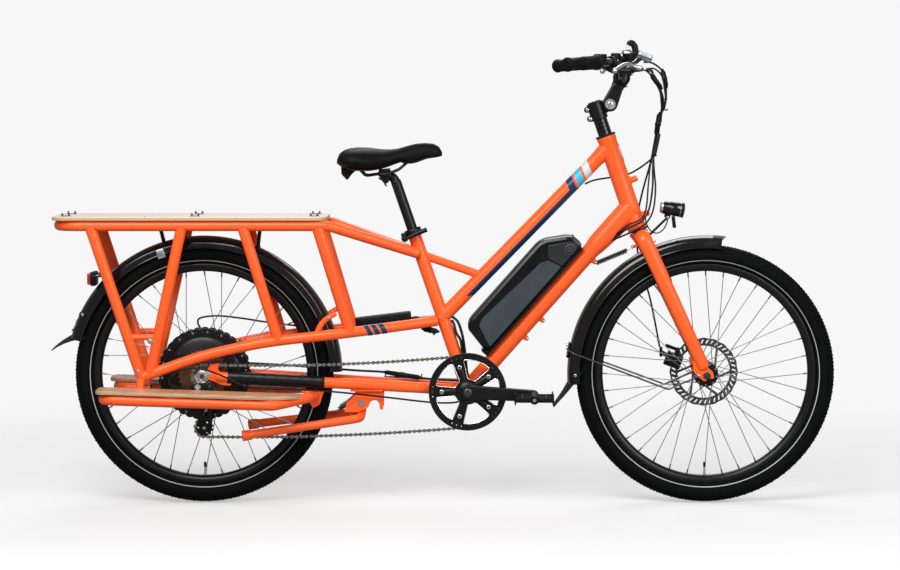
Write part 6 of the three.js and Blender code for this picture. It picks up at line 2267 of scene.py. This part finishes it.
def head_badge():
    """A plain oval plate, curved to the head tube's front."""
    piece = Piece("head_plate", "frame", ALLOY, slot="alloy", smooth=60)
    turns = (-1, -0.5, 0, 0.5, 1)
    for tall, wide, low, high, material in ((25, 15, 23.6, 25.2, ALLOY),
                                            (20.5, 11.5, 25, 25.7, SILVER_PAINT)):
        piece.use(material)
        rings = []
        for k in range(17):
            v = math.cos(math.pi * k / 16)
            half = wide * math.sqrt(max(0.002, 1 - v * v)) / 24
            centre = on_head(54 - tall * v)
            out = [HEAD_AHEAD * math.cos(half * u) + Y * math.sin(half * u) for u in turns]
            rings.append([centre + way * mm(high) for way in out]
                         + [centre + way * mm(low) for way in reversed(out)])
        piece.rings(rings)
    piece.use(STEEL)
    for down in (32.5, 75.5):
        piece.bolt(on_head(down, 25.4), HEAD_AHEAD, 1.6, 0.9)
    piece.make()


head_badge()


# ---------------------------------------------------------------- floor, light and camera
PALE = (0.931, 0.931, 0.931)
ROOM_LIGHT = 0.28
FLOOR_GLOW, FLOOR_PAINT, FLOOR_BOUNCE = 0.4, 0.45, 0.3
# Each lamp: its name, place, what it points at, size in metres and power in watts.
LAMPS = (
    ("key", (-1.4, -3.6, 3.9), (0, 0, 0.5), 3.0, 260),
    ("fill", (3.0, -3.6, 2.2), (0.3, 0, 0.6), 2.6, 110),
    ("rim", (0.4, 3.2, 3.8), (0, 0, 0.7), 3.0, 90),
)


def lit_or_seen(tree, lit, seen):
    """One shader for the light that falls on the object, and another for what the camera sees."""
    rays = tree.nodes.new("ShaderNodeLightPath")
    choose = tree.nodes.new("ShaderNodeMixShader")
    tree.links.new(rays.outputs["Is Camera Ray"], choose.inputs[0])
    tree.links.new(lit.outputs[0], choose.inputs[1])
    tree.links.new(seen.outputs[0], choose.inputs[2])
    return choose


def studio():
    """The floor, the pale backdrop and the lamps."""
    ground = bpy.data.meshes.new("floor")
    reach = 6
    corners = [(-reach, -reach, 0), (reach, -reach, 0), (reach, reach, 0), (-reach, reach, 0)]
    ground.from_pydata(corners, [], [(0, 1, 2, 3)])
    floor = bpy.data.objects.new("floor", ground)
    bpy.context.collection.objects.link(floor)
    ground.materials.append(pale_floor())
    world = bpy.data.worlds.new("studio")
    world.use_nodes = True
    tree = world.node_tree
    seen = tree.nodes["Background"]
    seen.inputs["Color"].default_value = (*PALE, 1)
    lit = tree.nodes.new("ShaderNodeBackground")
    lit.inputs["Color"].default_value = (1, 1, 1, 1)
    lit.inputs["Strength"].default_value = ROOM_LIGHT
    tree.links.new(lit_or_seen(tree, lit, seen).outputs[0], tree.nodes["World Output"].inputs["Surface"])
    bpy.context.scene.world = world
    bpy.context.scene.view_settings.view_transform = "Standard"
    for name, place, aim, size, power in LAMPS:
        data = bpy.data.lights.new(name, "AREA")
        data.shape = "SQUARE"
        data.size = size
        data.energy = power
        lamp = bpy.data.objects.new(name, data)
        lamp.location = place
        lamp.rotation_euler = (Vector(aim) - Vector(place)).to_track_quat("-Z", "Y").to_euler()
        bpy.context.collection.objects.link(lamp)


def pale_floor():
    """The floor: as pale as the backdrop, with soft shadows near the object, fading out round it."""
    material = bpy.data.materials.new("pale_floor")
    material.use_nodes = True
    tree = material.node_tree
    tree.nodes.remove(tree.nodes["Principled BSDF"])
    glow = tree.nodes.new("ShaderNodeEmission")
    glow.inputs["Color"].default_value = (1, 1, 1, 1)
    glow.inputs["Strength"].default_value = FLOOR_GLOW
    coat = tree.nodes.new("ShaderNodeBsdfDiffuse")
    coat.inputs["Color"].default_value = (*[FLOOR_PAINT] * 3, 1)
    both = tree.nodes.new("ShaderNodeAddShader")
    tree.links.new(glow.outputs[0], both.inputs[0])
    tree.links.new(coat.outputs[0], both.inputs[1])
    bounced = tree.nodes.new("ShaderNodeBsdfDiffuse")
    bounced.inputs["Color"].default_value = (*[FLOOR_BOUNCE] * 3, 1)
    surface = lit_or_seen(tree, bounced, both)
    place = tree.nodes.new("ShaderNodeTexCoord")
    length = tree.nodes.new("ShaderNodeVectorMath")
    length.operation = "LENGTH"
    tree.links.new(place.outputs["Object"], length.inputs[0])
    fade = tree.nodes.new("ShaderNodeMapRange")
    fade.interpolation_type = "SMOOTHSTEP"
    fade.inputs["From Min"].default_value = 1.3
    fade.inputs["From Max"].default_value = 3.0
    tree.links.new(length.outputs["Value"], fade.inputs["Value"])
    clear = tree.nodes.new("ShaderNodeBsdfTransparent")
    whole = tree.nodes.new("ShaderNodeMixShader")
    tree.links.new(fade.outputs["Result"], whole.inputs[0])
    tree.links.new(surface.outputs[0], whole.inputs[1])
    tree.links.new(clear.outputs[0], whole.inputs[2])
    tree.links.new(whole.outputs[0], tree.nodes["Material Output"].inputs["Surface"])
    return material


studio()


def photographer():
    """The camera, level with the handlebar; width is what it takes in at the bicycle, in metres."""
    distance, height, width = 7.5, 1.1, 2.3445
    aim = Vector((0.0169, 0, 0.5687))
    data = bpy.data.cameras.new("camera")
    data.sensor_width = 36
    data.clip_end = 100
    camera = bpy.data.objects.new("camera", data)
    camera.location = (aim.x, -math.sqrt(distance ** 2 - (height - aim.z) ** 2), height)
    data.lens = data.sensor_width * distance / width
    camera.rotation_euler = (aim - camera.location).to_track_quat("-Z", "Y").to_euler()
    bpy.context.collection.objects.link(camera)
    bpy.context.scene.camera = camera


photographer()
